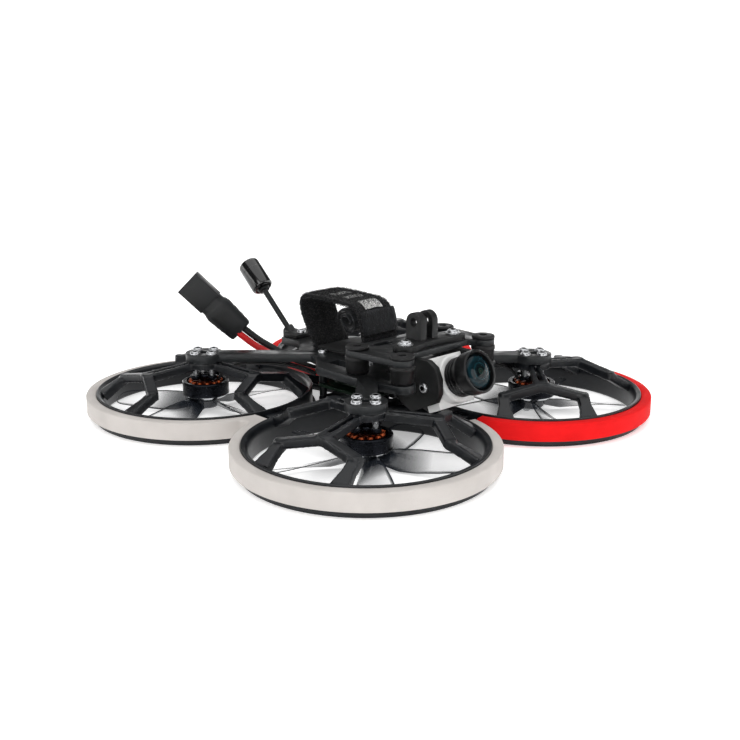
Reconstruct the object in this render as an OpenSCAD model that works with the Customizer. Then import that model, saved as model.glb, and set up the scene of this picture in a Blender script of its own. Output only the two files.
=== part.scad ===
// Ducted racing drone: four inverted motors under a cross-shaped arm plate, each in its own
// guard ring, with a stack of boards hung below the plate and a damped camera deck above it.
// Millimetres. The nose points along -Y, up is +Z, and z = 0 is the surface the rings rest on.

/* [Arms] */
// Distance between the axes of neighbouring motors
motor_pitch = 92; // [91.4:0.1:93]
// Underside of the arm plate
arm_z = 20.8; // [20.6:0.1:21.2]
// Thickness of the arm plate
arm_t = 3; // [2.6:0.1:3]
// Width of an arm
arm_w = 7.6; // [6.8:0.1:8]
// Radius of the round pad over each motor
pad_r = 7.4; // [7.2:0.1:7.8]

/* [Guard rings] */
// Outer radius of the ring wall
ring_r = 42.6; // [42.4:0.1:42.8]
// Throat radius, where the propeller turns
throat_r = 39.9; // [39.6:0.1:40.2]
// Height of the ring wall
ring_h = 10; // [9.8:0.1:10.4]
// Thickness of the foam bumper
foam_t = 3.95; // [3.6:0.05:4.1]
// Width of a strut
strut_w = 4.2; // [3:0.1:4.6]

/* [Motors] */
// Radius of the motor bell
bell_r = 9.25; // [9:0.05:9.5]
// Radius of the propeller
prop_r = 38; // [36:0.5:38.5]
// Pitch of the propeller blades
blade_pitch = 22; // [16:1:24]

/* [Camera deck] */
// Underside of the upper plate
deck_z = 30.6; // [30.5:0.1:31]
// Thickness of the upper plate
deck_t = 2.2; // [1.8:0.1:2.4]
// Upward tilt of the flight camera
camera_tilt = 24; // [20:1:28]
// Width and height of the flight camera
camera_w = 19; // [18:0.5:19]

/* [Battery strap] */
// Width of the strap
strap_w = 18; // [16:1:18]
// Thickness of the strap
strap_t = 2; // [1.6:0.1:2.2]

/* [Hidden] */
$fn = 96;

FRONT_RIGHT = [-1, -1];
REAR_RIGHT = [-1, 1];
FRONT_LEFT = [1, -1];
REAR_LEFT = [1, 1];

m = motor_pitch / 2;
arm_top = arm_z + arm_t;
deck_top = deck_z + deck_t;
foam_r = ring_r + foam_t;

carbon = "#2b2d2e";
nylon = "#24272b";
silver = "#b9bcbf";
black = "#17181a";
copper = "#a8552b";

// ---- placing ----

// The front right corner is drawn; the other three are its mirror images
module at_corner(side) {
    mirror([side.x > 0 ? 1 : 0, 0, 0])
        mirror([0, side.y > 0 ? 1 : 0, 0])
            translate([-m, -m, 0])
                children();
}

module at_all_corners() {
    for (side = [FRONT_RIGHT, REAR_RIGHT, FRONT_LEFT, REAR_LEFT])
        at_corner(side) children();
}

module both_sides() {
    children();
    mirror([1, 0, 0]) children();
}

// The points of the right half, then their mirror images, as one closed outline
function with_mirror(half) = concat(half, [for (i = [len(half) - 1 : -1 : 0]) [-half[i].x, half[i].y]]);

// Cutter for a hole through a plate that stands on z = 0
module hole(r) {
    translate([0, 0, -1]) cylinder(r = r, h = 6);
}

module ring(r_out, r_in, z0, z1) {
    translate([0, 0, z0])
        difference() {
            cylinder(r = r_out, h = z1 - z0);
            translate([0, 0, -1]) cylinder(r = r_in, h = z1 - z0 + 2);
        }
}

// Upright bar from p to q; its top middle line joins the two points
module bar(p, q, w, h) {
    d = q - p;
    l = norm(d);
    c = 0.5;
    translate(p)
        rotate([0, -asin(d.z / l), atan2(d.y, d.x)])
            rotate([90, 0, 90])
                linear_extrude(l)
                    polygon([
                        [-w / 2, -h], [w / 2, -h], [w / 2, -c],
                        [w / 2 - c, 0], [-w / 2 + c, 0], [-w / 2, -c]
                    ]);
}

function polar(r, a, z) = [r * cos(a), r * sin(a), z];

// ---- arm plate ----

deck_posts = [[-22.3, -40], [-23.5, -18.3]];
stack_pitch = 12.75;
slot_front_y = -9.3;
slot_rear_y = 21.4;
rear_tab_y = 44.5;
antenna_screw = [0, 40.4];

// A point on the right-hand front or rear arm: how far out from the middle, and across it
function arm_point(end, out, across) = [-(out + across) / sqrt(2), end * (out - across) / sqrt(2)];

// Right half of the plate, from the nose to the antenna tab; the arms end under their pads
side_w = arm_w / 2;
arm_end = sqrt(2) * m - 3.5;
plate_outline = [
    [-15, -24], [-17.5, -40], [-27.2, -40],
    arm_point(-1, 43.8, -side_w), arm_point(-1, arm_end, -side_w),
    arm_point(-1, arm_end, side_w), arm_point(-1, 38, side_w),
    [-29, -2], [-20, 9],
    arm_point(1, 22.65, side_w), arm_point(1, arm_end, side_w),
    arm_point(1, arm_end, -side_w), arm_point(1, 26.74, -side_w),
    [-15.5, 24], [-7.5, 33], [-7.5, rear_tab_y]
];

module arm_plate() {
    color(carbon)
        translate([0, 0, arm_z])
            difference() {
                union() {
                    linear_extrude(arm_t) polygon(with_mirror(plate_outline));
                    for (sx = [-1, 1], sy = [-1, 1])
                        translate([sx * m, sy * m, 0]) cylinder(r = pad_r, h = arm_t);
                    both_sides()
                        translate(deck_posts[0]) cylinder(r = 4.9, h = arm_t);
                }
                for (sx = [-1, 1], sy = [-1, 1]) {
                    translate([sx * m, sy * m]) hole(1.75);
                    for (a = [0 : 90 : 270])
                        translate([sx * m + 4.5 * cos(a), sy * m + 4.5 * sin(a)]) hole(1.1);
                    translate([sx * stack_pitch, sy * stack_pitch]) hole(1.1);
                }
                for (y = [slot_front_y, slot_rear_y])
                    translate([-strap_w / 2 - 0.5, y - 1.5, -1]) cube([strap_w + 1, 3, arm_t + 2]);
                both_sides() {
                    for (p = deck_posts)
                        translate(p) hole(1.6);
                    translate([-22, -12, -1]) cube([6, 12, arm_t + 2]);
                }
                translate(antenna_screw) hole(1.1);
            }
}

// ---- upper plate, on rubber dampers ----

mount_screw = [-13.1, -32.7];

deck_outline = [
    [-16, -37.5], [-18, -40], [-26.4, -40], [-27.6, -18.3], [-19.8, -18.3], [-19, -14]
];

module upper_plate() {
    color(carbon)
        translate([0, 0, deck_z])
            difference() {
                union() {
                    linear_extrude(deck_t) polygon(with_mirror(deck_outline));
                    both_sides()
                        for (p = deck_posts)
                            translate(p) cylinder(r = 4.3, h = deck_t);
                }
                both_sides() {
                    for (p = deck_posts)
                        translate(p) hole(1.9);
                    translate(mount_screw) hole(1.3);
                    for (x = [-8, -14])
                        translate([x, -19]) hole(1.6);
                    translate([-14, -20.6, -1]) cube([6, 3.2, deck_t + 2]);
                }
            }
}

module dampers() {
    color(black)
        both_sides()
            for (p = deck_posts)
                translate([p.x, p.y, 0])
                    rotate_extrude()
                        polygon([
                            [1.5, arm_top], [3.9, arm_top], [4.3, arm_top + 0.6], [4.3, arm_top + 4.4],
                            [4.6, arm_top + 5.2], [4.6, arm_top + 6.2], [4.2, deck_z], [1.9, deck_z],
                            [1.9, deck_top], [4.1, deck_top], [4.4, deck_top + 0.3],
                            [4.4, deck_top + 1], [4.1, deck_top + 1.4], [1.5, deck_top + 1.4]
                        ]);
}

// ---- guard rings ----

boss_z = 18;
boss_r = 6.9;
strut_h = 3.4;
node_r = 24;
bend_r = 31.5;

module ring_wall() {
    lip = [for (a = [0 : 15 : 90]) [throat_r + 1.7 * (1 - sin(a)), ring_h - 0.2 - 3.4 * (1 - cos(a))]];
    rotate_extrude()
        polygon(concat(
            [[ring_r - 0.3, ring_h]],
            lip,
            [[throat_r, 1], [throat_r + 0.7, 0], [ring_r + 1, 0], [ring_r + 1.3, 0.3],
             [ring_r + 1.3, 2.2], [ring_r + 0.9, 2.6], [ring_r, 2.6], [ring_r, ring_h - 0.3]]
        ));
}

module strut_branch(a, side) {
    fork = polar(node_r, a, 18.6);
    bend = polar(bend_r, a + side * 28, 15.6);
    foot = polar(ring_r - 1.2, a + side * 22, 9.5);
    bar(fork, bend, strut_w, strut_h);
    bar(bend, foot, strut_w, strut_h);
    translate([bend.x, bend.y, bend.z - strut_h]) cylinder(d = strut_w, h = strut_h - 0.1);
}

module strut(a) {
    for (side = [-1, 1]) {
        off = polar(1.6 * side, a + 90, 0);
        bar(polar(7, a, 20.4) + off, polar(node_r - 1, a, 18.7) + off, 1.4, strut_h);
        strut_branch(a, side);
    }
    translate(polar(node_r, a, 18.5 - strut_h)) cylinder(d = 4.8, h = strut_h);
}

// Half of the link to each neighbour; the halves meet on the middle plane
module ring_links() {
    w = 9;
    for (flip = [0, 1])
        mirror([flip, -flip, 0])
            difference() {
                translate([ring_r - 1.5, -w / 2, 1]) cube([m - ring_r + 1.5, w, 7.4]);
                cylinder(r = ring_r - 1, h = 20);
                translate([m - 2, 0, 0]) cylinder(r = 1, h = 20);
            }
}

module duct(side) {
    color(nylon)
        at_corner(side)
            difference() {
                union() {
                    ring_wall();
                    for (a = [192, 314, 74])
                        strut(a);
                    translate([0, 0, boss_z]) cylinder(r = boss_r, h = arm_z - boss_z);
                    ring_links();
                }
                translate([0, 0, boss_z - 1]) cylinder(r = 2.4, h = 6);
                for (a = [0 : 90 : 270])
                    translate([4.5 * cos(a), 4.5 * sin(a), boss_z - 1]) cylinder(r = 1.1, h = 6);
            }
}

// ---- foam bumpers: one strip round each side, ending short of where the rings meet ----

foam_z0 = 2.65;
foam_z1 = 9.4;
// angle between the end of a strip and the point where the rings meet
end_gap = 12.4;
side_tip_x = -54;
notch_r = 3;
// centre of the round notch between the two rings of one side
notch_x = sqrt(pow(foam_r + notch_r, 2) - m * m);

module foam_outline() {
    difference() {
        union() {
            for (y = [-m, m])
                translate([-m, y]) circle(r = foam_r);
            difference() {
                translate([-m - notch_x, -m * notch_r / (foam_r + notch_r)])
                    square([notch_x, 2 * m * notch_r / (foam_r + notch_r)]);
                translate([-m - notch_x, 0]) circle(r = notch_r);
            }
        }
        for (y = [-m, m])
            translate([-m, y]) circle(r = ring_r + 0.05);
        translate([side_tip_x, -16]) square([60, 32]);
        for (rear = [0, 1])
            mirror([0, rear])
                translate([-m, -m])
                    polygon([[0, 0], [60 * cos(end_gap), -60 * sin(end_gap)], [60, 60], [0, 60]]);
    }
}

module foam(colour, x_side) {
    color(colour)
        mirror([x_side > 0 ? 1 : 0, 0, 0])
            translate([0, 0, foam_z0])
                linear_extrude(foam_z1 - foam_z0) foam_outline();
}

// ---- motors, hung below the arms ----

base_z = 13.8;
bell_z0 = 6.3;
bell_z1 = 12.5;
shaft_r = 0.75;

module motor_base(side) {
    color(black)
        at_corner(side)
            difference() {
                union() {
                    translate([0, 0, base_z]) cylinder(r = 3.2, h = 1.5);
                    for (a = [0, 90])
                        rotate([0, 0, a])
                            translate([-6, -1.5, base_z]) cube([12, 3, 1.5]);
                    for (a = [0 : 90 : 270])
                        translate([4.5 * cos(a), 4.5 * sin(a), base_z]) cylinder(r = 2, h = 1.5);
                    translate([0, 0, 8.2]) cylinder(r = 2.5, h = base_z - 8.2);
                }
                translate([0, 0, 7]) cylinder(r = shaft_r + 0.05, h = 9);
                for (a = [0 : 90 : 270])
                    translate([4.5 * cos(a), 4.5 * sin(a), base_z - 1]) cylinder(r = 1.05, h = 4);
            }
}

module windings(side) {
    coils = 12;
    color(copper)
        at_corner(side)
            difference() {
                union() {
                    translate([0, 0, 8.8]) cylinder(r = 4.2, h = 4);
                    for (i = [0 : coils - 1])
                        rotate([0, 0, i * 360 / coils])
                            translate([3.6, -0.9, 8.5]) cube([3.6, 1.8, 4.7]);
                }
                translate([0, 0, 7]) cylinder(r = 2.5, h = 9);
            }
}

module motor_bell(side) {
    color("#3a3c40")
        at_corner(side) {
            difference() {
                union() {
                    rotate_extrude()
                        polygon([
                            [0, bell_z0], [bell_r - 1.2, bell_z0], [bell_r, bell_z0 + 0.9],
                            [bell_r, bell_z1 - 0.3], [bell_r - 0.3, bell_z1],
                            [7.6, bell_z1], [7.6, bell_z0 + 1.4], [0, bell_z0 + 1.4]
                        ]);
                    translate([0, 0, bell_z0]) cylinder(r = shaft_r, h = 8.8);
                }
                for (a = [0 : 180 : 180])
                    translate([2.5 * cos(a), 2.5 * sin(a), bell_z0 - 1]) cylinder(r = 0.8, h = 2.1);
                for (a = [22.5 : 45 : 337.5])
                    translate([5.6 * cos(a), 5.6 * sin(a), bell_z0 - 1]) cylinder(r = 1.1, h = 4);
            }
        }
}

module blade() {
    tip = 6.2;
    // leading and trailing edges sweep back; the tip follows the ring
    rotate([blade_pitch, 0, 0])
        translate([0, 0, -0.55])
            linear_extrude(1.1)
                polygon([
                    [4, -3], [10, -5.2], [17, -6.6], [25, -7], [32, -6.6], [prop_r - 1.6, -tip],
                    [prop_r - 0.9, -3], [prop_r - 0.9, 0], [prop_r - 1.4, 3.2], [prop_r - 3, 4.6],
                    [28, 4.9], [20, 4.8], [12, 4], [4, 3]
                ]);
}

module propeller(side) {
    blades = 5;
    color("#4a4d52", 0.7)
        at_corner(side)
            difference() {
                union() {
                    rotate_extrude()
                        polygon([[0, 1.6], [4.4, 1.6], [5.5, 2.8], [5.5, bell_z0 - 0.6], [5, bell_z0], [0, bell_z0]]);
                    for (i = [0 : blades - 1])
                        rotate([0, 0, 18 + i * 360 / blades])
                            translate([0, 0, 3.9]) blade();
                }
                for (a = [0, 180])
                    translate([2.5 * cos(a), 2.5 * sin(a), 0]) cylinder(r = 0.85, h = 9);
            }
}

module prop_screws(side) {
    color(silver)
        at_corner(side)
            for (a = [0, 180])
                translate([2.5 * cos(a), 2.5 * sin(a), 0])
                    difference() {
                        union() {
                            translate([0, 0, 0.5]) cylinder(r = 1.5, h = 1.1);
                            translate([0, 0, 0.5]) cylinder(r = 0.75, h = 6.8);
                        }
                        cylinder(r = 0.6, h = 1.1, $fn = 6);
                    }
}

// Button head screw, head resting at z = 0, shank below
module screw(head_r, shank_r, length) {
    difference() {
        union() {
            rotate_extrude()
                polygon([[0, 0], [head_r, 0], [head_r, 0.6], [head_r - 0.7, 1.2], [0, 1.2]]);
            translate([0, 0, -length]) cylinder(r = shank_r, h = length + 0.5);
        }
        translate([0, 0, 0.5]) cylinder(r = head_r * 0.38, h = 2, $fn = 6);
    }
}

module motor_screws() {
    color(silver)
        at_all_corners()
            for (a = [0 : 90 : 270])
                translate([4.5 * cos(a), 4.5 * sin(a), arm_top]) screw(2, 1, arm_top - base_z - 0.3);
}

// ---- action camera mount ----

ear_hole = [-28.7, 41.2];
ear_r = 3.8;
ear_t = 3;
ear_gap = 3.2;
bar_t = 2.2;

module mount_outline() {
    both_sides() {
        translate(mount_screw) circle(r = 4.6);
        polygon([[0, -24.6], [-4.6, -24.6], [-7, -27.5], [-13.1, -28.1], [-13.1, -37.3], [-6, -35.6], [0, -35.2]]);
    }
}

module action_camera_mount() {
    color(black)
        difference() {
            union() {
                translate([0, 0, deck_top]) linear_extrude(bar_t) mount_outline();
                for (x0 = [-ear_gap / 2 - ear_t, ear_gap / 2])
                    translate([x0, 0, 0]) {
                        translate([0, ear_hole[0], ear_hole[1]])
                            rotate([0, 90, 0]) cylinder(r = ear_r, h = ear_t);
                        translate([0, ear_hole[0] - ear_r, deck_top])
                            cube([ear_t, 2 * ear_r, ear_hole[1] - deck_top]);
                    }
            }
            translate([-10, ear_hole[0], ear_hole[1]]) rotate([0, 90, 0]) cylinder(r = 1.6, h = 20);
            for (sx = [-1, 1])
                translate([sx * mount_screw.x, mount_screw.y, 0]) cylinder(r = 1.3, h = 60);
        }
}

module mount_screws() {
    color(silver)
        both_sides()
            translate([mount_screw.x, mount_screw.y, deck_top + bar_t]) {
                difference() {
                    cylinder(r = 2.9, h = 0.5);
                    translate([0, 0, -1]) cylinder(r = 1.25, h = 3);
                }
                translate([0, 0, 0.5]) screw(2.2, 1.2, bar_t + deck_t + 0.4);
            }
    color(silver)
        translate([antenna_screw.x, antenna_screw.y, arm_top + 1.6]) screw(1.9, 1, arm_t + 1.6);
}

// ---- flight camera, tilting between two cheeks ----

camera_pivot = [0, -41.5, 20.4];
shell_front = 2;
shell_depth = 6;
back_depth = 5.8;

// Camera parts are drawn looking along -Y with the pivot at the origin
module in_camera() {
    translate(camera_pivot)
        rotate([-camera_tilt, 0, 0])
            children();
}

module turned(points) {
    rotate([90, 0, 0]) rotate_extrude() polygon(points);
}

module camera_shell() {
    color("#e9e9e7")
        in_camera()
            difference() {
                union() {
                    translate([-camera_w / 2, -shell_front, -camera_w / 2])
                        cube([camera_w, shell_depth, camera_w]);
                    turned([[0, 0], [9, 0], [9, shell_front + 3.4], [8.4, shell_front + 4], [0, shell_front + 4]]);
                }
                turned([
                    [0, shell_front - 3], [5.5, shell_front - 3], [5.5, shell_front + 1.4], [6.95, shell_front + 1.4],
                    [6.95, shell_front + 5], [0, shell_front + 5]
                ]);
                for (sx = [-1, 1])
                    translate([sx * camera_w / 2 - 2.5, 0, 0]) rotate([0, 90, 0]) cylinder(r = 0.95, h = 5);
            }
}

module camera_back() {
    w = camera_w - 0.4;
    back_y = shell_depth - shell_front;
    color(black)
        in_camera()
            difference() {
                // tapered below, so that it clears the rings as it tilts
                translate([-w / 2, 0, 0])
                    rotate([90, 0, 90])
                        linear_extrude(w)
                            polygon([
                                [back_y, -w / 2], [back_y + 0.6, 0.2 - w / 2], [back_y + back_depth, -4.8],
                                [back_y + back_depth, 7], [back_y + 4, w / 2], [back_y, w / 2]
                            ]);
                // socket for the ribbon cable
                translate([-4, back_y + back_depth - 2, -4]) cube([8, 3, 2]);
            }
}

module lens_barrel() {
    f = shell_front;
    color(black)
        in_camera()
            turned([
                [0, f - 2.9], [5.4, f - 2.9], [5.4, f + 1.5], [6.8, f + 1.5], [6.8, f + 4.2], [7.4, f + 4.6],
                [7.4, f + 8.6], [8.1, f + 11], [8.1, f + 14.8], [7.7, f + 15.4], [7.2, f + 15.4],
                [6.7, f + 13.4], [0, f + 13.4]
            ]);
}

module lens_glass() {
    f = shell_front + 13.4;
    color("#1d3f47")
        in_camera()
            turned(concat([[0, f]], [for (a = [0 : 15 : 90]) [6.5 * cos(a), f + 0.1 + 2.2 * sin(a)]]));
}

module camera_cheeks() {
    inner = camera_w / 2 + 0.3;
    color(black)
        both_sides()
            difference() {
                union() {
                    translate([-inner - 2.6, 0, 0])
                        rotate([90, 0, 90])
                            linear_extrude(2.6)
                                polygon([
                                    [-24.3, arm_z], [-30, 12.5], [-35.4, 10], [-42.6, 13.4], [-47, 15.4], [-48.6, 19],
                                    [-48.4, 24.5], [-46.4, 28.6], [-42.8, deck_z], [-30, deck_z],
                                    [-27.5, arm_top], [-24.3, arm_top]
                                ]);
                    // tab against the front edge of the arm plate
                    translate([-14.9, -27.3, arm_z]) cube([3.1, 3.3, arm_t]);
                }
                translate([-20, camera_pivot.y, camera_pivot.z]) rotate([0, 90, 0]) cylinder(r = 1.1, h = 15);
            }
}

module camera_screws() {
    inner = camera_w / 2 + 0.3;
    color(silver)
        both_sides()
            translate([-inner - 2.6, camera_pivot.y, camera_pivot.z])
                rotate([0, -90, 0])
                    screw(1.9, 0.9, 4.6);
}

// ---- boards below the arm plate ----

board_z = 15.6;
vtx_z = 10.4;
bottom_z = 4;
bottom_t = 1.5;

module rounded_square(w, r) {
    difference() {
        translate([-w / 2, -w / 2]) square(w);
        for (a = [0 : 90 : 270])
            rotate([0, 0, a])
                translate([w / 2 - r, w / 2 - r])
                    difference() {
                        square(r + 1);
                        circle(r = r);
                    }
    }
}

module at_stack() {
    for (sx = [-1, 1], sy = [-1, 1])
        translate([sx * stack_pitch, sy * stack_pitch, 0]) children();
}

module bottom_plate() {
    color(carbon)
        translate([0, 0, bottom_z])
            difference() {
                linear_extrude(bottom_t) rounded_square(29.5, 2.6);
                both_sides() {
                    for (y = [-6, 6])
                        translate([-6.5, y]) hole(2.6);
                    translate([-9.1, -6, -1]) cube([5.2, 12, bottom_t + 2]);
                }
                at_stack() hole(1.1);
            }
}

module stack_posts() {
    color(silver)
        at_stack() {
            translate([0, 0, arm_top]) screw(1.9, 1, arm_top - bottom_z + 1.6);
            difference() {
                translate([0, 0, bottom_z - 1.6]) cylinder(r = 2.2, h = 1.6, $fn = 6);
                translate([0, 0, bottom_z - 2]) cylinder(r = 1, h = 3);
            }
        }
}

module stack_spacers() {
    color(black)
        at_stack() {
            ring(1.9, 1.05, board_z + 1.2, arm_z);
            ring(1.6, 1.05, vtx_z + 1, board_z);
            ring(1.5, 1.05, bottom_z + bottom_t, vtx_z);
        }
}

module flight_controller() {
    color("#1c2b22")
        difference() {
            translate([0, 0, board_z]) linear_extrude(1.2) rounded_square(32, 3.4);
            at_stack() translate([0, 0, board_z - 1]) cylinder(r = 1.1, h = 4);
        }
}

// Chips above and below the board, and the solder pads along its edges
module board_components() {
    top = board_z + 1.2;
    color("#8a8d90") {
        translate([-3.5, -3.5, top]) cube([7, 7, 0.9]);
        translate([-12, -4.5, top]) cube([4.5, 9, 1.2]);
        translate([7.5, -4.5, top]) cube([4.5, 9, 1.2]);
        translate([-4, 10.5, top]) cube([8, 4, 1.6]);
        for (a = [0 : 90 : 270], x = [-6.6, 0, 6.6])
            rotate([0, 0, a]) translate([x - 1.8, 5.4, board_z - 1]) cube([3.6, 3.4, 1]);
        // lugs the power leads are soldered to
        for (x = [-7, -3.6])
            translate([x - 1.2, 13, board_z - 2.6]) cube([2.4, 2.7, 2.6]);
    }
}

module video_transmitter() {
    color("#26282b")
        difference() {
            translate([0, 0, vtx_z]) {
                linear_extrude(1) rounded_square(30, 3);
                translate([-9, -10, 1]) cube([18, 20, 2.4]);
                translate([-2.2, 10.6, 1]) cube([4.4, 3.8, 2.8]);
            }
            at_stack() translate([0, 0, vtx_z - 1]) cylinder(r = 1.1, h = 4);
            // socket of the press button, open to the back
            translate([-1.6, 12.7, vtx_z + 1.2]) cube([3.2, 4, 2]);
        }
}

module heatsink() {
    fins = 8;
    color("#6d7073") {
        translate([-10, -10, vtx_z - 1.2]) cube([20, 20, 1.2]);
        for (i = [0 : fins - 1])
            translate([-10 + i * (20 - 1) / (fins - 1), -10, vtx_z - 4]) cube([1, 20, 2.8]);
    }
}

// Small press button in the socket at the back edge of the transmitter
module bind_button() {
    color("#d8d8d4")
        translate([-1.5, 13.1, vtx_z + 1.3]) cube([3, 2.6, 1.8]);
}

module receiver() {
    color("#1f3d6b") {
        translate([3, 24.5, 18.2]) cube([9, 12, 1]);
        translate([4.6, 27, 17.2]) cube([5.8, 6, 1]);
        translate([5, 28, 19.2]) cube([5, 5, arm_z - 19.2]);
    }
}

module capacitor() {
    color("#20242c")
        translate([-1.4, 20.6, 12.8]) rotate([0, 90, 0]) {
            cylinder(r = 4, h = 9.4);
            translate([0, 0, -0.6]) cylinder(r = 3.5, h = 0.6);
        }
}

// ---- wires ----

function unit(v) = v / norm(v);

// Direction of the route at point i
function along(route, i) =
    unit(route[min(i + 1, len(route) - 1)] - route[max(i - 1, 0)]);

// Round tube with 8 sides swept along a route
module tube(route, d) {
    sides = 8;
    n = len(route);
    rings = [
        for (i = [0 : n - 1])
            let (t = along(route, i),
                 u = unit(cross(t, abs(t.z) > 0.9 ? [1, 0, 0] : [0, 0, 1])),
                 v = cross(t, u))
                for (k = [0 : sides - 1])
                    route[i] + d / 2 * (u * cos(k * 360 / sides) + v * sin(k * 360 / sides))
    ];
    walls = [
        for (i = [0 : n - 2], k = [0 : sides - 1])
            [i * sides + k, i * sides + (k + 1) % sides, (i + 1) * sides + (k + 1) % sides, (i + 1) * sides + k]
    ];
    first = [for (k = [sides - 1 : -1 : 0]) k];
    last = [for (k = [0 : sides - 1]) (n - 1) * sides + k];
    polyhedron(rings, concat(walls, [first, last]), convexity = 4);
}

// Three flat-laid leads run below each arm, from the board corner to the motor
lead_d = 1.2;
lead_route = [
    [31.2, 31.2, 14.9], [27.5, 27.5, 17.2], [22, 22, 19.2], [12, 12, 19.8], [8, 8, 18.6],
    [5.4, 5.4, 16.4], [3.9, 3.9, 13.6]
];

module motor_leads() {
    color("#23211f")
        at_all_corners()
            for (k = [-1, 0, 1])
                translate([k * 1.1, -k * 1.1, 0]) tube(lead_route, lead_d);
}

// Power leads: from the back of the flight controller, behind the right arm, up to the plug
power_d = 2.8;
red_route = [
    [-7, 16, 14], [-8, 22, 13], [-10, 28, 13.4], [-12.5, 35, 15], [-15, 42, 18],
    [-19, 48, 21.6], [-23.3, 52.3, 26.2]
];
black_route = [
    [-3.6, 16, 14], [-4.4, 22, 13], [-6, 29, 13.6], [-8.5, 36, 15.6], [-12, 43, 19.4],
    [-16.4, 48.4, 23.4], [-20.8, 52.8, 28.2]
];

module power_lead_red() {
    color("#c3211f") tube(red_route, power_d);
}

module power_lead_black() {
    color(black) tube(black_route, power_d);
}

plug_at = [-22.2, 52.7, 27.4];
plug_yaw = 135.5;
plug_rise = 44;

// Plug parts are drawn along +X from the end of the leads
module on_plug() {
    translate(plug_at)
        rotate([0, -plug_rise, plug_yaw])
            children();
}

module flat_sleeve(x0, x1, w0, w1, h0, h1) {
    hull() {
        translate([x0, -w0 / 2 + h0 / 2, 0]) rotate([0, 90, 0]) cylinder(d = h0, h = 0.1, $fn = 32);
        translate([x0, w0 / 2 - h0 / 2, 0]) rotate([0, 90, 0]) cylinder(d = h0, h = 0.1, $fn = 32);
        translate([x1, -w1 / 2 + h1 / 2, 0]) rotate([0, 90, 0]) cylinder(d = h1, h = 0.1, $fn = 32);
        translate([x1, w1 / 2 - h1 / 2, 0]) rotate([0, 90, 0]) cylinder(d = h1, h = 0.1, $fn = 32);
    }
}

// the flat side of the plug and its sleeve leans this way round the lead
plug_roll = 90;

module plug_sleeve() {
    color("#1c1d1f")
        on_plug() rotate([plug_roll, 0, 0]) {
            flat_sleeve(0, 3.4, 9.6, 12, 4.6, 6.4);
            flat_sleeve(3.4, 13.6, 12, 12.2, 6.4, 6.8);
            flat_sleeve(13.6, 17, 12.2, 10.2, 6.8, 6);
        }
}

module power_plug() {
    color("#232427")
        on_plug() rotate([plug_roll, 0, 0])
            difference() {
                translate([17.1, -5.4, -3]) cube([12.8, 10.8, 6]);
                for (y = [-2.5, 2.5])
                    translate([25, y, 0]) rotate([0, 90, 0]) cylinder(r = 1.6, h = 8);
            }
}

// ---- antenna ----

antenna_foot = [0, 46.4, 23.4];
antenna_lean = 47.5;
cap_z0 = 25.5;
cap_z1 = 40;

// Drawn along +Z from the foot, then leaned back
module on_antenna() {
    translate(antenna_foot)
        rotate([-antenna_lean, 0, 0])
            children();
}

module antenna_stalk() {
    color(black) on_antenna() {
        cylinder(r = 1.2, h = cap_z0);
        translate([0, 0, cap_z0 - 1.2]) cylinder(r = 2.4, h = 1.2);
    }
}

module antenna_cap() {
    color(black)
        on_antenna()
            rotate_extrude()
                polygon([
                    [0, cap_z0], [3.9, cap_z0], [4.7, cap_z0 + 0.8], [4.7, cap_z1 - 1.2],
                    [4.2, cap_z1 - 0.4], [3.4, cap_z1], [0, cap_z1]
                ]);
}

module antenna_mount() {
    color(nylon)
        difference() {
            union() {
                translate([-6, 36.8, arm_top]) cube([12, 8.4, 1.6]);
                translate([-2.9, rear_tab_y, arm_z]) cube([5.8, 4.6, arm_t + 1.6]);
                on_antenna() translate([0, 0, -0.8]) cylinder(r = 2.3, h = 4.6);
            }
            on_antenna() cylinder(r = 1.25, h = 30);
            translate(antenna_screw) cylinder(r = 1.1, h = 40);
        }
}

// ---- battery strap ----

module battery_pad() {
    color("#202124")
        translate([-10.6, -6, arm_top]) cube([21.2, 24, 1.6]);
}

// Ribbon of thickness t on the inner side of a closed outline of (y, z) points
function inset(points, t) = [
    for (i = [0 : len(points) - 1])
        let (n = len(points),
             d = unit(points[(i + 1) % n] - points[(i + n - 1) % n]))
            points[i] + t * [-d.y, d.x]
];

module ribbon(points, t, w) {
    translate([-w / 2, 0, 0])
        rotate([90, 0, 90])
            linear_extrude(w)
                difference() {
                    polygon(points);
                    polygon(inset(points, t));
                }
}

// The loop goes down through both slots of the arm plate and back up round the battery
strap_outline = [
    [slot_front_y - 1, 18.7], [slot_rear_y + 1, 18.7], [slot_rear_y + 1.1, 21], [slot_rear_y + 1.4, 24.4],
    [26.8, 30], [30, 36], [31.2, 40.5], [30.2, 43.6], [27.2, 45.2], [22, 45.6], [14, 45.6], [7, 45.4],
    [1, 45], [-2.6, 43.4], [-4.8, 40.4], [-6, 36.4], [-7, 32], [-8.8, 28], [-10.2, 24.4], [-10.5, 21]
];

module strap() {
    color("#1d1e20") ribbon(strap_outline, strap_t, strap_w);
}

tail_centre = [2.9, 37.4];
tail_tilt = 30;

// Spare end of the strap, rolled into a flat coil inside the loop
module strap_tail() {
    a = 6.4;
    b = 5.2;
    ellipse = [for (t = [0 : 20 : 340]) let (x = a * cos(t), y = b * sin(t))
        tail_centre + [x * cos(tail_tilt) - y * sin(tail_tilt), x * sin(tail_tilt) + y * cos(tail_tilt)]];
    color("#2a2d31") ribbon(ellipse, 1.8, strap_w);
}

// Raised pad sewn on the front of the strap
module strap_keeper() {
    outer = [
        [-4.9, 42.4], [-5.9, 40.9], [-7.1, 36.7], [-7.8, 33.3],
        [-6.82, 33], [-6.04, 36.4], [-4.85, 40.43], [-3.96, 41.64]
    ];
    color("#33363a")
        translate([-strap_w / 2 - 0.4, 0, 0])
            rotate([90, 0, 90])
                linear_extrude(strap_w + 0.8)
                    polygon(outer);
}

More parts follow.
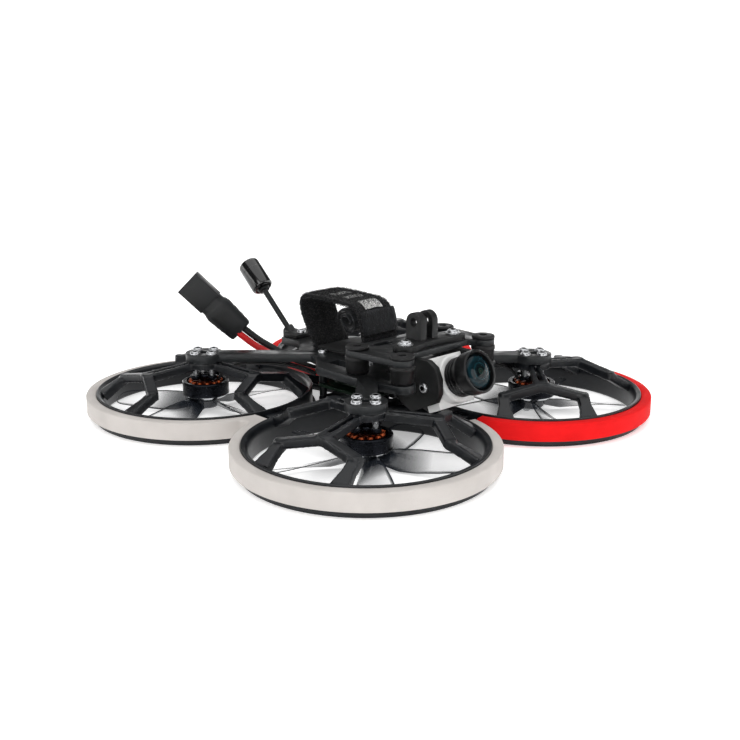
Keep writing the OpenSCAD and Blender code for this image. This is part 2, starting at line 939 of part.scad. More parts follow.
arm_plate();
upper_plate();
bottom_plate();
stack_posts();
stack_spacers();
duct(FRONT_RIGHT);  // duct_front_right
duct(REAR_RIGHT);  // duct_rear_right
duct(FRONT_LEFT);  // duct_front_left
duct(REAR_LEFT);  // duct_rear_left
foam("#d9d7d3", -1);  // foam_right
foam("#e0262a", 1);  // foam_left
motor_base(FRONT_RIGHT);  // motor_base_front_right
motor_base(REAR_RIGHT);  // motor_base_rear_right
motor_base(FRONT_LEFT);  // motor_base_front_left
motor_base(REAR_LEFT);  // motor_base_rear_left
windings(FRONT_RIGHT);  // windings_front_right
windings(REAR_RIGHT);  // windings_rear_right
windings(FRONT_LEFT);  // windings_front_left
windings(REAR_LEFT);  // windings_rear_left
motor_bell(FRONT_RIGHT);  // motor_bell_front_right
motor_bell(REAR_RIGHT);  // motor_bell_rear_right
motor_bell(FRONT_LEFT);  // motor_bell_front_left
motor_bell(REAR_LEFT);  // motor_bell_rear_left
propeller(FRONT_RIGHT);  // propeller_front_right
propeller(REAR_RIGHT);  // propeller_rear_right
propeller(FRONT_LEFT);  // propeller_front_left
propeller(REAR_LEFT);  // propeller_rear_left
prop_screws(FRONT_RIGHT);  // prop_screws_front_right
prop_screws(REAR_RIGHT);  // prop_screws_rear_right
prop_screws(FRONT_LEFT);  // prop_screws_front_left
prop_screws(REAR_LEFT);  // prop_screws_rear_left
motor_screws();
dampers();
action_camera_mount();
mount_screws();
camera_shell();
camera_back();
lens_barrel();
lens_glass();
camera_cheeks();
camera_screws();
flight_controller();
board_components();
video_transmitter();
heatsink();
bind_button();
receiver();
capacitor();
motor_leads();
power_lead_red();
power_lead_black();
power_plug();
plug_sleeve();
antenna_stalk();
antenna_cap();
antenna_mount();
battery_pad();
strap();
strap_tail();
strap_keeper();
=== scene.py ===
# Ducted racing drone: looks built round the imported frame.
# Sizes are in millimetres until a mesh is made; the frame is in metres, nose along -Y.
import math

import bmesh
import bpy
from mathutils import Matrix, Vector, noise


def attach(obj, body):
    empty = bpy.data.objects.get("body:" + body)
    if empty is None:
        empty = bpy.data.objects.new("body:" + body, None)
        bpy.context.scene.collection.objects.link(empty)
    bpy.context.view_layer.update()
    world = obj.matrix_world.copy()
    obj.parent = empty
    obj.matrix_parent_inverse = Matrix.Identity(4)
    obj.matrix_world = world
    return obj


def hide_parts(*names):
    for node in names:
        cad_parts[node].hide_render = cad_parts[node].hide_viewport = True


mm = 0.001
weldGap, cadWeld = 0.001, 0.004
edgeAngle = 35
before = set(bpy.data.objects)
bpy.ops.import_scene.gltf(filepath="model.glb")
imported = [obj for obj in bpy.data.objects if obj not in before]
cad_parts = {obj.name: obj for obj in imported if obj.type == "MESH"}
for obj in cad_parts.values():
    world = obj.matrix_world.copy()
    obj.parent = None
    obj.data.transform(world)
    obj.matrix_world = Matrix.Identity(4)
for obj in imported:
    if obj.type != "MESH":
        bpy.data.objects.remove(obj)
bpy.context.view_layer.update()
scene = bpy.context.scene
print("frame loaded:", len(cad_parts), "nodes")

view = {"spot": (-280.07, -286.51, 126.42), "forward": (0.675319, 0.688531, -0.264328), "lens": 50.74}
cameraData = bpy.data.cameras.new("viewCamera")
cameraData.lens = view["lens"]
cameraData.sensor_width = 36
cameraData.clip_start = 0.01
viewCamera = bpy.data.objects.new("viewCamera", cameraData)
viewCamera.location = Vector(view["spot"]) * mm
viewCamera.rotation_euler = Vector(view["forward"]).to_track_quat("-Z", "Y").to_euler()
scene.collection.objects.link(viewCamera)
scene.camera = viewCamera
scene.view_settings.view_transform = "Standard"

studio = {
    "sky": 0.12,
    "floorRadius": 1.5,
    "wallHeight": 0.34,
    "wallGlow": 1.05,
    "floorGlow": 0.42,
    "lamps": [
        # name, place, aim, size, watts
        ("overheadSoftbox", (0, 0, 2.5), (0, 0, 0), 5.0, 92),
        ("frontSoftbox", (-1.05, -0.6, 0.62), (0, 0, 0.02), 0.7, 4.0),
        ("sideSoftbox", (0.5, -1.2, 0.5), (0, 0, 0.02), 0.5, 2.0),
    ],
}


# sRGB hex to linear.
def hexColour(text):
    parts = [int(text[i : i + 2], 16) / 255 for i in (1, 3, 5)]
    return [c / 12.92 if c <= 0.04045 else ((c + 0.055) / 1.055) ** 2.4 for c in parts] + [1.0]


def addNode(tree, kind, settings=None, links=None):
    node = tree.nodes.new(kind)
    for key, value in (settings or {}).items():
        if isinstance(key, str) and hasattr(node, key) and key not in node.inputs:
            setattr(node, key, value)
        else:
            node.inputs[key].default_value = value
    for key, socket in (links or {}).items():
        tree.links.new(socket, node.inputs[key])
    return node


def newMaterial(name, colour, settings):
    made = bpy.data.materials.new(name)
    made.use_nodes = True
    tree = made.node_tree
    tree.nodes.clear()
    surface = addNode(tree, "ShaderNodeBsdfPrincipled", dict({"Base Color": hexColour(colour)}, **settings))
    addNode(tree, "ShaderNodeOutputMaterial", links={"Surface": surface.outputs[0]})
    place = addNode(tree, "ShaderNodeTexCoord")
    return made, tree, surface, place


def mixColours(tree, surface, factor, low, high):
    blend = addNode(tree, "ShaderNodeMix", {"data_type": "RGBA"}, {0: factor})
    blend.inputs[6].default_value = hexColour(low)
    blend.inputs[7].default_value = hexColour(high)
    tree.links.new(blend.outputs[2], surface.inputs["Base Color"])
    return blend


def bumpFrom(tree, surface, height, strength, distance):
    bump = addNode(
        tree, "ShaderNodeBump", {"Strength": strength, "Distance": distance * mm}, {"Height": height},
    )
    tree.links.new(bump.outputs[0], surface.inputs["Normal"])


def spread(tree, value, low, high, first, last):
    return addNode(tree, "ShaderNodeMapRange", {1: first, 2: last, 3: low, 4: high}, {0: value}).outputs[0]


# A moulded, printed or painted finish: grain in millimetres, depth in millimetres.
def grainFinish(name, colours, roughness, grain, depth, extra=None):
    patch = 9.0
    made, tree, surface, place = newMaterial(
        name, colours[0], dict({"Roughness": roughness[0], "Specular IOR Level": 0.3}, **(extra or {})),
    )
    fine = addNode(
        tree, "ShaderNodeTexNoise", {"Scale": 1 / (grain * mm), "Detail": 3.0},
        {"Vector": place.outputs["Object"]},
    )
    broad = addNode(
        tree, "ShaderNodeTexNoise", {"Scale": 1 / (patch * mm), "Detail": 2.0},
        {"Vector": place.outputs["Object"]},
    )
    mixColours(tree, surface, spread(tree, broad.outputs[0], 0, 1, 0.3, 0.7), colours[0], colours[1])
    tree.links.new(
        spread(tree, broad.outputs[0], roughness[0], roughness[1], 0.3, 0.7), surface.inputs["Roughness"],
    )
    bumpFrom(tree, surface, fine.outputs[0], 0.5, depth)
    return made


def carbonFinish():
    # pressed carbon fibre laminate: a faint 2 mm twill on the faces, thin glue lines on the cut edges
    made, tree, surface, place = newMaterial(
        "carbonLaminate", "#15171a", {"Roughness": 0.36, "Specular IOR Level": 0.3},
    )
    turned = addNode(
        tree, "ShaderNodeMapping", {"Rotation": (0, 0, math.radians(45)), "Scale": (500, 500, 500)},
        {"Vector": place.outputs["Object"]},
    )
    parts = addNode(tree, "ShaderNodeSeparateXYZ", links={0: turned.outputs[0]})
    total = addNode(tree, "ShaderNodeMath", {"operation": "ADD"}, {0: parts.outputs[0], 1: parts.outputs[1]})
    fold = addNode(tree, "ShaderNodeMath", {"operation": "PINGPONG", 1: 1.0}, {0: total.outputs[0]})
    along = addNode(tree, "ShaderNodeMath", {"operation": "PINGPONG", 1: 0.5}, {0: parts.outputs[0]})
    tow = addNode(
        tree, "ShaderNodeMath", {"operation": "MULTIPLY"}, {0: fold.outputs[0], 1: along.outputs[0]},
    )
    scuff = addNode(
        tree, "ShaderNodeTexNoise", {"Scale": 180.0, "Detail": 4.0}, {"Vector": place.outputs["Object"]},
    )
    height = addNode(tree, "ShaderNodeSeparateXYZ", links={0: place.outputs["Object"]})
    layers = addNode(
        tree, "ShaderNodeMath", {"operation": "MULTIPLY", 1: 2 * math.pi / (0.42 * mm)},
        {0: height.outputs[2]},
    )
    lines = addNode(tree, "ShaderNodeMath", {"operation": "SINE"}, {0: layers.outputs[0]})
    facing = addNode(tree, "ShaderNodeNewGeometry")
    normal = addNode(tree, "ShaderNodeSeparateXYZ", links={0: facing.outputs["Normal"]})
    flat = addNode(tree, "ShaderNodeMath", {"operation": "ABSOLUTE"}, {0: normal.outputs[2]})
    onTop = spread(tree, flat.outputs[0], 0, 1, 0.55, 0.85)
    topTone = spread(tree, tow.outputs[0], 0.1, 0.42, 0.0, 0.5)
    edgeTone = spread(tree, lines.outputs[0], 0.35, 0.8, -1, 1)
    tone = addNode(tree, "ShaderNodeMix", {"data_type": "FLOAT"}, {0: onTop, 2: edgeTone, 3: topTone})
    mixColours(tree, surface, tone.outputs[0], "#0c0d0e", "#232628")
    tree.links.new(spread(tree, scuff.outputs[0], 0.3, 0.48, 0.3, 0.7), surface.inputs["Roughness"])
    bumpFrom(tree, surface, tow.outputs[0], 0.25, 0.05)
    return made


def foamFinish(name, low, high):
    # closed cell foam strip, cut from sheet: soft, matt, with 0.5 mm cells
    made, tree, surface, place = newMaterial(name, high, {"Roughness": 0.82, "Specular IOR Level": 0.2})
    cells = addNode(
        tree, "ShaderNodeTexVoronoi", {"Scale": 1 / (0.55 * mm)}, {"Vector": place.outputs["Object"]},
    )
    broad = addNode(
        tree, "ShaderNodeTexNoise", {"Scale": 1 / (14 * mm), "Detail": 3.0},
        {"Vector": place.outputs["Object"]},
    )
    mixColours(tree, surface, spread(tree, broad.outputs[0], 0, 1, 0.25, 0.75), low, high)
    bumpFrom(tree, surface, cells.outputs[0], 0.3, 0.12)
    return made


def bladeFinish():
    # smoke grey polycarbonate: see-through in the middle, dark where the moulding is thick at the hub; the
    # dark, near-opaque leading and trailing edges are painted shade for a rim seen at a grazing angle
    made, tree, surface, place = newMaterial(
        "smokePolycarbonate", "#3c4147", {"Roughness": 0.16, "IOR": 1.58},
    )
    uv = addNode(tree, "ShaderNodeSeparateXYZ", links={0: place.outputs["UV"]})
    edge = addNode(tree, "ShaderNodeMath", {"operation": "PINGPONG", 1: 0.5}, {0: uv.outputs[0]})
    # opacity rising towards the leading and trailing edges: painted rim shade
    inner = spread(tree, edge.outputs[0], 0.95, 0.09, 0.02, 0.11)
    root = spread(tree, uv.outputs[1], 0.95, 0.0, 0.1, 0.5)
    alpha = addNode(tree, "ShaderNodeMath", {"operation": "MAXIMUM"}, {0: inner, 1: root})
    tree.links.new(alpha.outputs[0], surface.inputs["Alpha"])
    streak = addNode(tree, "ShaderNodeTexNoise", {"Scale": 160.0}, {"Vector": place.outputs["Object"]})
    mixColours(tree, surface, streak.outputs[0], "#181b20", "#2c3138")
    return made


# A turned or rolled metal: fine lathe lines when spin is set.
def metalFinish(name, low, high, roughness, spin=0.0):
    made, tree, surface, place = newMaterial(name, high, {"Metallic": 1.0, "Roughness": roughness})
    fine = addNode(
        tree, "ShaderNodeTexNoise", {"Scale": 1400.0, "Detail": 3.0}, {"Vector": place.outputs["Object"]},
    )
    mixColours(tree, surface, fine.outputs[0], low, high)
    tree.links.new(
        spread(tree, fine.outputs[0], roughness * 0.7, roughness * 1.35, 0.3, 0.7),
        surface.inputs["Roughness"],
    )
    if spin:
        parts = addNode(tree, "ShaderNodeSeparateXYZ", links={0: place.outputs["Object"]})
        rows = addNode(
            tree, "ShaderNodeMath", {"operation": "MULTIPLY", 1: 2 * math.pi / (spin * mm)},
            {0: parts.outputs[2]},
        )
        lines = addNode(tree, "ShaderNodeMath", {"operation": "SINE"}, {0: rows.outputs[0]})
        bumpFrom(tree, surface, lines.outputs[0], 0.12, 0.02)
    return made


def webbingFinish(name, low, high, bars=None):
    # brushed loop side of hook and loop webbing: 0.6 mm loops, matt with a dusty sheen
    made, tree, surface, place = newMaterial(
        name, low,
        {"Roughness": 0.95, "Sheen Weight": 0.25, "Sheen Roughness": 0.4, "Specular IOR Level": 0.25},
    )
    loops = addNode(
        tree, "ShaderNodeTexVoronoi", {"Scale": 1 / (0.6 * mm)}, {"Vector": place.outputs["Object"]},
    )
    tufts = addNode(
        tree, "ShaderNodeTexNoise", {"Scale": 1 / (2.2 * mm), "Detail": 5.0},
        {"Vector": place.outputs["Object"]},
    )
    shade = mixColours(tree, surface, spread(tree, tufts.outputs[0], 0, 1, 0.3, 0.75), low, high)
    if bars:
        # plain printed bars, frayed a little by the loops
        uv = addNode(tree, "ShaderNodeSeparateXYZ", links={0: place.outputs["UV"]})
        frayed = addNode(
            tree, "ShaderNodeMath", {"operation": "MULTIPLY_ADD", 1: 0.012, 2: -0.006},
            {0: tufts.outputs[0]},
        )
        run = addNode(tree, "ShaderNodeMath", {"operation": "ADD"}, {0: uv.outputs[0], 1: frayed.outputs[0]})
        mask = None
        for start, end, side0, side1 in bars:
            inside = None
            for value, low1, high1 in ((run.outputs[0], start, end), (uv.outputs[1], side0, side1)):
                for limit, operation in ((low1, "GREATER_THAN"), (high1, "LESS_THAN")):
                    test = addNode(tree, "ShaderNodeMath", {"operation": operation, 1: limit}, {0: value})
                    if inside is None:
                        inside = test.outputs[0]
                    else:
                        inside = addNode(
                            tree, "ShaderNodeMath", {"operation": "MULTIPLY"},
                            {0: inside, 1: test.outputs[0]},
                        ).outputs[0]
            if mask is None:
                mask = inside
            else:
                mask = addNode(
                    tree, "ShaderNodeMath", {"operation": "MAXIMUM"}, {0: mask, 1: inside},
                ).outputs[0]
        printed = addNode(tree, "ShaderNodeMix", {"data_type": "RGBA"}, {0: mask, 6: shade.outputs[2]})
        printed.inputs[7].default_value = hexColour("#dddddb")
        tree.links.new(printed.outputs[2], surface.inputs["Base Color"])
    bumpFrom(tree, surface, loops.outputs[0], 0.8, 0.25)
    return made


def lensFinish():
    # coated glass over the dark inside of a lens: rings of teal and violet by distance from the axis, and a
    # lighter centre, are painted reflections of the coating and the inner lens elements
    made, tree, surface, place = newMaterial(
        "lensGlassPaintedReflections", "#06090b", {"Roughness": 0.05, "Specular IOR Level": 0.14},
    )
    uv = addNode(tree, "ShaderNodeSeparateXYZ", links={0: place.outputs["UV"]})
    ramp = addNode(tree, "ShaderNodeValToRGB", links={0: uv.outputs[0]})
    # lighter centre and lighter rings on the dark glass: painted reflections
    stops = [
        (0.0, "#3a4438"), (0.07, "#0a1112"), (0.15, "#1c332e"), (0.19, "#050809"), (0.4, "#071519"),
        (0.46, "#0f2d33"), (0.52, "#061317"), (0.8, "#0c242b"), (0.9, "#061116"), (1.0, "#020304"),
    ]
    for at, colour in stops[1:-1]:
        ramp.color_ramp.elements.new(at)
    for stop, (at, colour) in zip(ramp.color_ramp.elements, stops):
        stop.position = at
        stop.color = hexColour(colour)
    ramp.color_ramp.elements[-1].position = 1.0
    ramp.color_ramp.elements[-1].color = hexColour(stops[-1][1])
    tree.links.new(ramp.outputs[0], surface.inputs["Base Color"])
    return made


finishes = {
    "carbon": carbonFinish(),
    "nylon": grainFinish(
        "mouldedNylon", ("#090b0e", "#111418"), (0.3, 0.42), 0.7, 0.03,
        extra={"Specular IOR Level": 0.34},
    ),
    "blackNylon": grainFinish("blackMouldedNylon", ("#08090a", "#101214"), (0.34, 0.5), 0.6, 0.03),
    "greyFoam": foamFinish("greyClosedCellFoam", "#b2ada9", "#c2bdb9"),
    "redFoam": foamFinish("redClosedCellFoam", "#c80609", "#dd0e11"),
    "anodised": metalFinish("blackAnodisedAluminium", "#15161a", "#26282d", 0.3, 0.5),
    "brightCut": metalFinish("brightCutAluminium", "#c9cbce", "#eceef0", 0.2),
    "copper": metalFinish("enamelledCopper", "#6a2a17", "#a85634", 0.34),
    "steel": metalFinish("machinedSteel", "#8f9193", "#c2c3c5", 0.3),
    # inside of a hex socket: the same steel painted near black as shade in the recess
    "socket": metalFinish("steelSocketPaintedShade", "#070707", "#141414", 0.6),
    "blade": bladeFinish(),
    "rubber": grainFinish("softRubber", ("#070708", "#101011"), (0.42, 0.6), 0.5, 0.04),
    "printed": grainFinish("printedNylon", ("#070808", "#111213"), (0.42, 0.58), 0.4, 0.06),
    "whiteAbs": grainFinish("whiteAbs", ("#cfcfce", "#dcdcdb"), (0.3, 0.42), 0.5, 0.01),
    "blackAbs": grainFinish("blackAbs", ("#060607", "#0d0e0f"), (0.26, 0.38), 0.5, 0.015),
    "glass": lensFinish(),
    "solderMask": grainFinish("greenBlackSolderMask", ("#0d1a12", "#16281c"), (0.28, 0.42), 1.2, 0.03),
    "blueMask": grainFinish("blueSolderMask", ("#10244a", "#183262"), (0.28, 0.42), 1.2, 0.03),
    "chip": grainFinish("chipEpoxy", ("#161718", "#232425"), (0.5, 0.62), 0.3, 0.02),
    "finned": metalFinish("castHeatsink", "#55585b", "#8b8e91", 0.42),
    "button": grainFinish("ivoryButton", ("#c9c8c2", "#d8d7d2"), (0.4, 0.5), 0.4, 0.01),
    "sleeve": grainFinish("shrinkSleeve", ("#090a0b", "#121416"), (0.38, 0.52), 0.9, 0.05),
    "capSleeve": grainFinish("capacitorSleeve", ("#10131b", "#1a1f2b"), (0.25, 0.34), 0.9, 0.02),
    "redLead": grainFinish("redSilicone", ("#a50f10", "#c91719"), (0.42, 0.55), 0.6, 0.02),
    "blackLead": grainFinish("blackSilicone", ("#0c0c0d", "#171718"), (0.42, 0.55), 0.6, 0.02),
    "gloss": grainFinish(
        "glossyBlackAbs", ("#050506", "#0a0a0b"), (0.1, 0.16), 4.0, 0.01,
        extra={"Specular IOR Level": 0.5, "Coat Weight": 0.4, "Coat Roughness": 0.05},
    ),
    "webbing": webbingFinish(
        "blackLoopWebbing", "#050506", "#131416",
        [(0.6, 0.63, 0.24, 0.76), (0.66, 0.69, 0.24, 0.76), (0.73, 0.775, 0.24, 0.76)],
    ),
    "darkWebbing": webbingFinish("darkHookWebbing", "#0a0b0d", "#1a1c1f"),
    "grip": grainFinish("grippyPad", ("#0b0c0c", "#151617"), (0.7, 0.85), 0.8, 0.12),
}
print("materials:", len(finishes))


# verts in millimetres; finish is one name or a list, uvs one (u, v) for each vertex.
def makeObject(name, verts, faces, finish, smoothAngle=35, uvs=None):
    mesh = bpy.data.meshes.new(name)
    mesh.from_pydata([Vector(v) * mm for v in verts], [], faces)
    for key in [finish] if isinstance(finish, str) else finish:
        mesh.materials.append(finishes[key])
    if uvs:
        layer = mesh.uv_layers.new(name="surface")
        for loop in mesh.loops:
            layer.data[loop.index].uv = uvs[loop.vertex_index]
    made = bpy.data.objects.new(name, mesh)
    scene.collection.objects.link(made)
    shadeSmooth(made, smoothAngle)
    return made


def shadeSmooth(made, angle):
    for face in made.data.polygons:
        face.use_smooth = True
    made.data.set_sharp_from_angle(angle=math.radians(angle))


# Turns the faces outwards; points closer than weld, in millimetres, become one.
def faceOutward(made, weld=0):
    work = bmesh.new()
    work.from_mesh(made.data)
    if weld:
        bmesh.ops.remove_doubles(work, verts=work.verts, dist=weld * mm)
    bmesh.ops.recalc_face_normals(work, faces=work.faces)
    work.to_mesh(made.data)
    work.free()


# Adds the other pieces' faces to the first piece.
def joinInto(made, others):
    work = bmesh.new()
    for piece in [made, *others]:
        work.from_mesh(piece.data)
    work.to_mesh(made.data)
    work.free()


# The object with its modifiers turned into plain mesh.
def applied(made):
    bpy.context.view_layer.update()
    result = bpy.data.meshes.new_from_object(made.evaluated_get(bpy.context.evaluated_depsgraph_get()))
    made.modifiers.clear()
    old = made.data
    made.data = result
    bpy.data.meshes.remove(old)
    return made


def settle(piece, body, slot, *nodes):
    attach(piece, body)
    if nodes:
        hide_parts(*nodes)
    return piece


corners = {"front_right": (-1, -1), "rear_right": (-1, 1), "front_left": (1, -1), "rear_left": (1, 1)}
armHalf = 46.0


def toCorner(corner, point):
    sx, sy = corners[corner]
    return (-sx * (point[0] - armHalf), -sy * (point[1] - armHalf), point[2])


# Takes a piece drawn round the origin to its corner; a mirrored one is turned right side out.
def moveToCorner(made, corner):
    for vertex in made.data.vertices:
        x, y, z = (c / mm for c in vertex.co)
        vertex.co = Vector(toCorner(corner, (x, y, z))) * mm
    sx, sy = corners[corner]
    if sx * sy < 0:
        made.data.flip_normals()
    return made


# Closed solid from a closed profile of (radius, height), turned about Z.
def revolve(profile, segments, matrix, uv=False):
    verts, faces, rings, uvs = [], [], [], []
    largest = max(p[0] for p in profile)
    for r, z in profile:
        if r < 1e-6:
            rings.append([len(verts)])
            verts.append(Vector((0, 0, z)))
            uvs.append((0, 0))
        else:
            rings.append(list(range(len(verts), len(verts) + segments)))
            for k in range(segments):
                a = 2 * math.pi * k / segments
                verts.append(Vector((r * math.cos(a), r * math.sin(a), z)))
                uvs.append((r / largest, k / segments))
    closed = profile[0][0] > 1e-6
    pairs = zip(rings, rings[1:] + ([rings[0]] if closed else []))
    for low, high in pairs:
        for k in range(segments):
            j = (k + 1) % segments
            if len(low) == 1 and len(high) == 1:
                continue
            if len(low) == 1:
                faces.append((low[0], high[k], high[j]))
            elif len(high) == 1:
                faces.append((low[k], low[j], high[0]))
            else:
                faces.append((low[k], low[j], high[j], high[k]))
    if matrix is not None:
        verts = [matrix @ v for v in verts]
    return (verts, faces, uvs) if uv else (verts, faces)


def turnedPiece(name, profile, segments, finish, matrix=None, angle=35, uv=False):
    parts = revolve(profile, segments, matrix, uv)
    made = makeObject(name, parts[0], parts[1], finish, angle, parts[2] if uv else None)
    faceOutward(made)
    shadeSmooth(made, angle)
    return made


# Copy of a CAD node with small rounded edges.
def bevelledCopy(name, node, finish, width, segments=2):
    work = bmesh.new()
    work.from_mesh(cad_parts[node].data)
    bmesh.ops.remove_doubles(work, verts=work.verts, dist=cadWeld * mm)
    bmesh.ops.dissolve_degenerate(work, edges=work.edges, dist=cadWeld * mm)
    bmesh.ops.dissolve_limit(work, angle_limit=math.radians(1.0), verts=work.verts, edges=work.edges)
    mesh = bpy.data.meshes.new(name)
    work.to_mesh(mesh)
    work.free()
    mesh.materials.clear()
    mesh.materials.append(finishes[finish])
    for face in mesh.polygons:
        face.material_index = 0
    made = bpy.data.objects.new(name, mesh)
    scene.collection.objects.link(made)
    bevel = made.modifiers.new("roundEdges", "BEVEL")
    bevel.width = width * mm
    bevel.segments = segments
    bevel.limit_method = "ANGLE"
    bevel.angle_limit = math.radians(edgeAngle)
    applied(made)
    shadeSmooth(made, edgeAngle)
    return made


# Catmull-Rom line through the points.
def smoothPath(points, steps, closed=False):
    pts = [Vector(p) for p in points]
    n = len(pts)
    line = []
    for i in range(n if closed else n - 1):
        if closed:
            p0, p1, p2, p3 = pts[i - 1], pts[i], pts[(i + 1) % n], pts[(i + 2) % n]
        else:
            p1, p2 = pts[i], pts[i + 1]
            p0 = pts[i - 1] if i else p1 * 2 - p2
            p3 = pts[i + 2] if i + 2 < n else p2 * 2 - p1
        for k in range(steps):
            t = k / steps
            square, cube = 2 * p0 - 5 * p1 + 4 * p2 - p3, 3 * p1 - p0 - 3 * p2 + p3
            line.append(0.5 * ((2 * p1) + (p2 - p0) * t + square * t * t + cube * t ** 3))
    if not closed:
        line.append(pts[-1])
    return line


# Closed tube: section is a function of (position 0..1) giving points (side, up).
def sweep(line, section):
    verts, faces = [], []
    count = len(section(0.0))
    side = None
    for i, point in enumerate(line):
        ahead = (line[min(i + 1, len(line) - 1)] - line[max(i - 1, 0)]).normalized()
        if side is None:
            side = ahead.cross(Vector((0, 0, 1))).normalized()
        side = (side - ahead * side.dot(ahead)).normalized()
        top = side.cross(ahead)
        for s, u in section(i / (len(line) - 1)):
            verts.append(point + side * s + top * u)
    for i in range(len(line) - 1):
        for k in range(count):
            j = (k + 1) % count
            faces.append((i * count + k, i * count + j, (i + 1) * count + j, (i + 1) * count + k))
    faces.append(tuple(reversed(range(count))))
    faces.append(tuple(range((len(line) - 1) * count, len(line) * count)))
    return verts, faces


def roundSection(radius, count=14):
    return lambda t: [
        (radius * math.cos(2 * math.pi * k / count), radius * math.sin(2 * math.pi * k / count))
        for k in range(count)
    ]


def pathLength(line):
    return sum((b - a).length for a, b in zip(line, line[1:]))


def newTree(name, sockets):
    tree = bpy.data.node_groups.new(name, "GeometryNodeTree")
    tree.interface.new_socket(name="Geometry", in_out="INPUT", socket_type="NodeSocketGeometry")
    for label, kind in sockets:
        tree.interface.new_socket(name=label, in_out="INPUT", socket_type=kind)
    tree.interface.new_socket(name="Geometry", in_out="OUTPUT", socket_type="NodeSocketGeometry")
    return tree, addNode(tree, "NodeGroupInput")


def closeTree(tree, given, instances):
    real = addNode(tree, "GeometryNodeRealizeInstances", links={0: instances})
    painted = addNode(
        tree, "GeometryNodeSetMaterial",
        links={"Geometry": real.outputs[0], "Material": given.outputs["Finish"]},
    )
    addNode(tree, "NodeGroupOutput", links={0: painted.outputs[0]})


def radialTree():
    tree, given = newTree(
        "copiesRoundAxis",
        [
            ("Part", "NodeSocketObject"), ("Count", "NodeSocketInt"), ("Start", "NodeSocketFloat"),
            ("Finish", "NodeSocketMaterial"),
        ],
    )
    points = addNode(tree, "GeometryNodePoints", links={"Count": given.outputs["Count"]})
    part = addNode(tree, "GeometryNodeObjectInfo", links={"Object": given.outputs["Part"]})
    index = addNode(tree, "GeometryNodeInputIndex")
    step = addNode(
        tree, "ShaderNodeMath", {"operation": "DIVIDE", 0: 2 * math.pi}, {1: given.outputs["Count"]},
    )
    turn = addNode(
        tree, "ShaderNodeMath", {"operation": "MULTIPLY_ADD"},
        {0: index.outputs[0], 1: step.outputs[0], 2: given.outputs["Start"]},
    )
    spin = addNode(tree, "ShaderNodeCombineXYZ", links={2: turn.outputs[0]})
    copies = addNode(
        tree, "GeometryNodeInstanceOnPoints",
        links={
            "Points": points.outputs[0], "Instance": part.outputs["Geometry"],
            "Rotation": spin.outputs[0],
        },
    )
    closeTree(tree, given, copies.outputs[0])
    return tree


def seatTree():
    tree, given = newTree(
        "copiesOnSeats",
        [("Part", "NodeSocketObject"), ("Seed", "NodeSocketInt")],
    )
    part = addNode(tree, "GeometryNodeObjectInfo", links={"Object": given.outputs["Part"]})
    turn = addNode(
        tree, "FunctionNodeRandomValue", {"data_type": "FLOAT", 2: 0.0, 3: 6.28},
        {"Seed": given.outputs["Seed"]},
    )
    spin = addNode(tree, "ShaderNodeCombineXYZ", links={2: turn.outputs[1]})
    copies = addNode(
        tree, "GeometryNodeInstanceOnPoints",
        links={
            "Points": given.outputs["Geometry"], "Instance": part.outputs["Geometry"],
            "Rotation": spin.outputs[0],
        },
    )
    real = addNode(tree, "GeometryNodeRealizeInstances", links={0: copies.outputs[0]})
    addNode(tree, "NodeGroupOutput", links={0: real.outputs[0]})
    return tree


def fibreTree():
    tree, given = newTree(
        "looseFibres",
        [
            ("Density", "NodeSocketFloat"), ("Length", "NodeSocketFloat"),
            ("Thickness", "NodeSocketFloat"), ("Seed", "NodeSocketInt"), ("Finish", "NodeSocketMaterial"),
        ],
    )
    spots = addNode(
        tree, "GeometryNodeDistributePointsOnFaces",
        links={
            "Mesh": given.outputs["Geometry"], "Density": given.outputs["Density"],
            "Seed": given.outputs["Seed"],
        },
    )
    cone = addNode(
        tree, "GeometryNodeMeshCone", {"Vertices": 3, "Fill Segments": 1},
        {"Radius Bottom": given.outputs["Thickness"], "Depth": given.outputs["Length"]},
    )
    lean = addNode(
        tree, "FunctionNodeRandomValue",
        {"data_type": "FLOAT_VECTOR", 0: (-0.9, -0.9, 0), 1: (0.9, 0.9, 6.28)},
        {"Seed": given.outputs["Seed"]},
    )
    size = addNode(
        tree, "FunctionNodeRandomValue", {"data_type": "FLOAT", 2: 0.4, 3: 1.3},
        {"Seed": given.outputs["Seed"]},
    )
    stand = addNode(
        tree, "GeometryNodeInstanceOnPoints",
        links={
            "Points": spots.outputs["Points"], "Instance": cone.outputs[0],
            "Rotation": spots.outputs["Rotation"], "Scale": size.outputs[1],
        },
    )
    leaning = addNode(
        tree, "GeometryNodeRotateInstances", links={0: stand.outputs[0], "Rotation": lean.outputs[0]},
    )
    closeTree(tree, given, leaning.outputs[0])
    return tree


# Runs a tree on the object once and keeps the result as plain mesh.
def runTree(made, tree, values):
    holder = made.modifiers.new("build", "NODES")
    holder.node_group = tree
    for item in tree.interface.items_tree:
        if item.in_out == "INPUT" and item.name in values:
            holder[item.identifier] = values[item.name]
    return applied(made)


radialCopies, seatCopies, looseFibres = radialTree(), seatTree(), fibreTree()


def pointObject(name, points):
    mesh = bpy.data.meshes.new(name)
    mesh.from_pydata([Vector(p) * mm for p in points], [], [])
    made = bpy.data.objects.new(name, mesh)
    scene.collection.objects.link(made)
    return made


def discard(made):
    bpy.data.objects.remove(made)


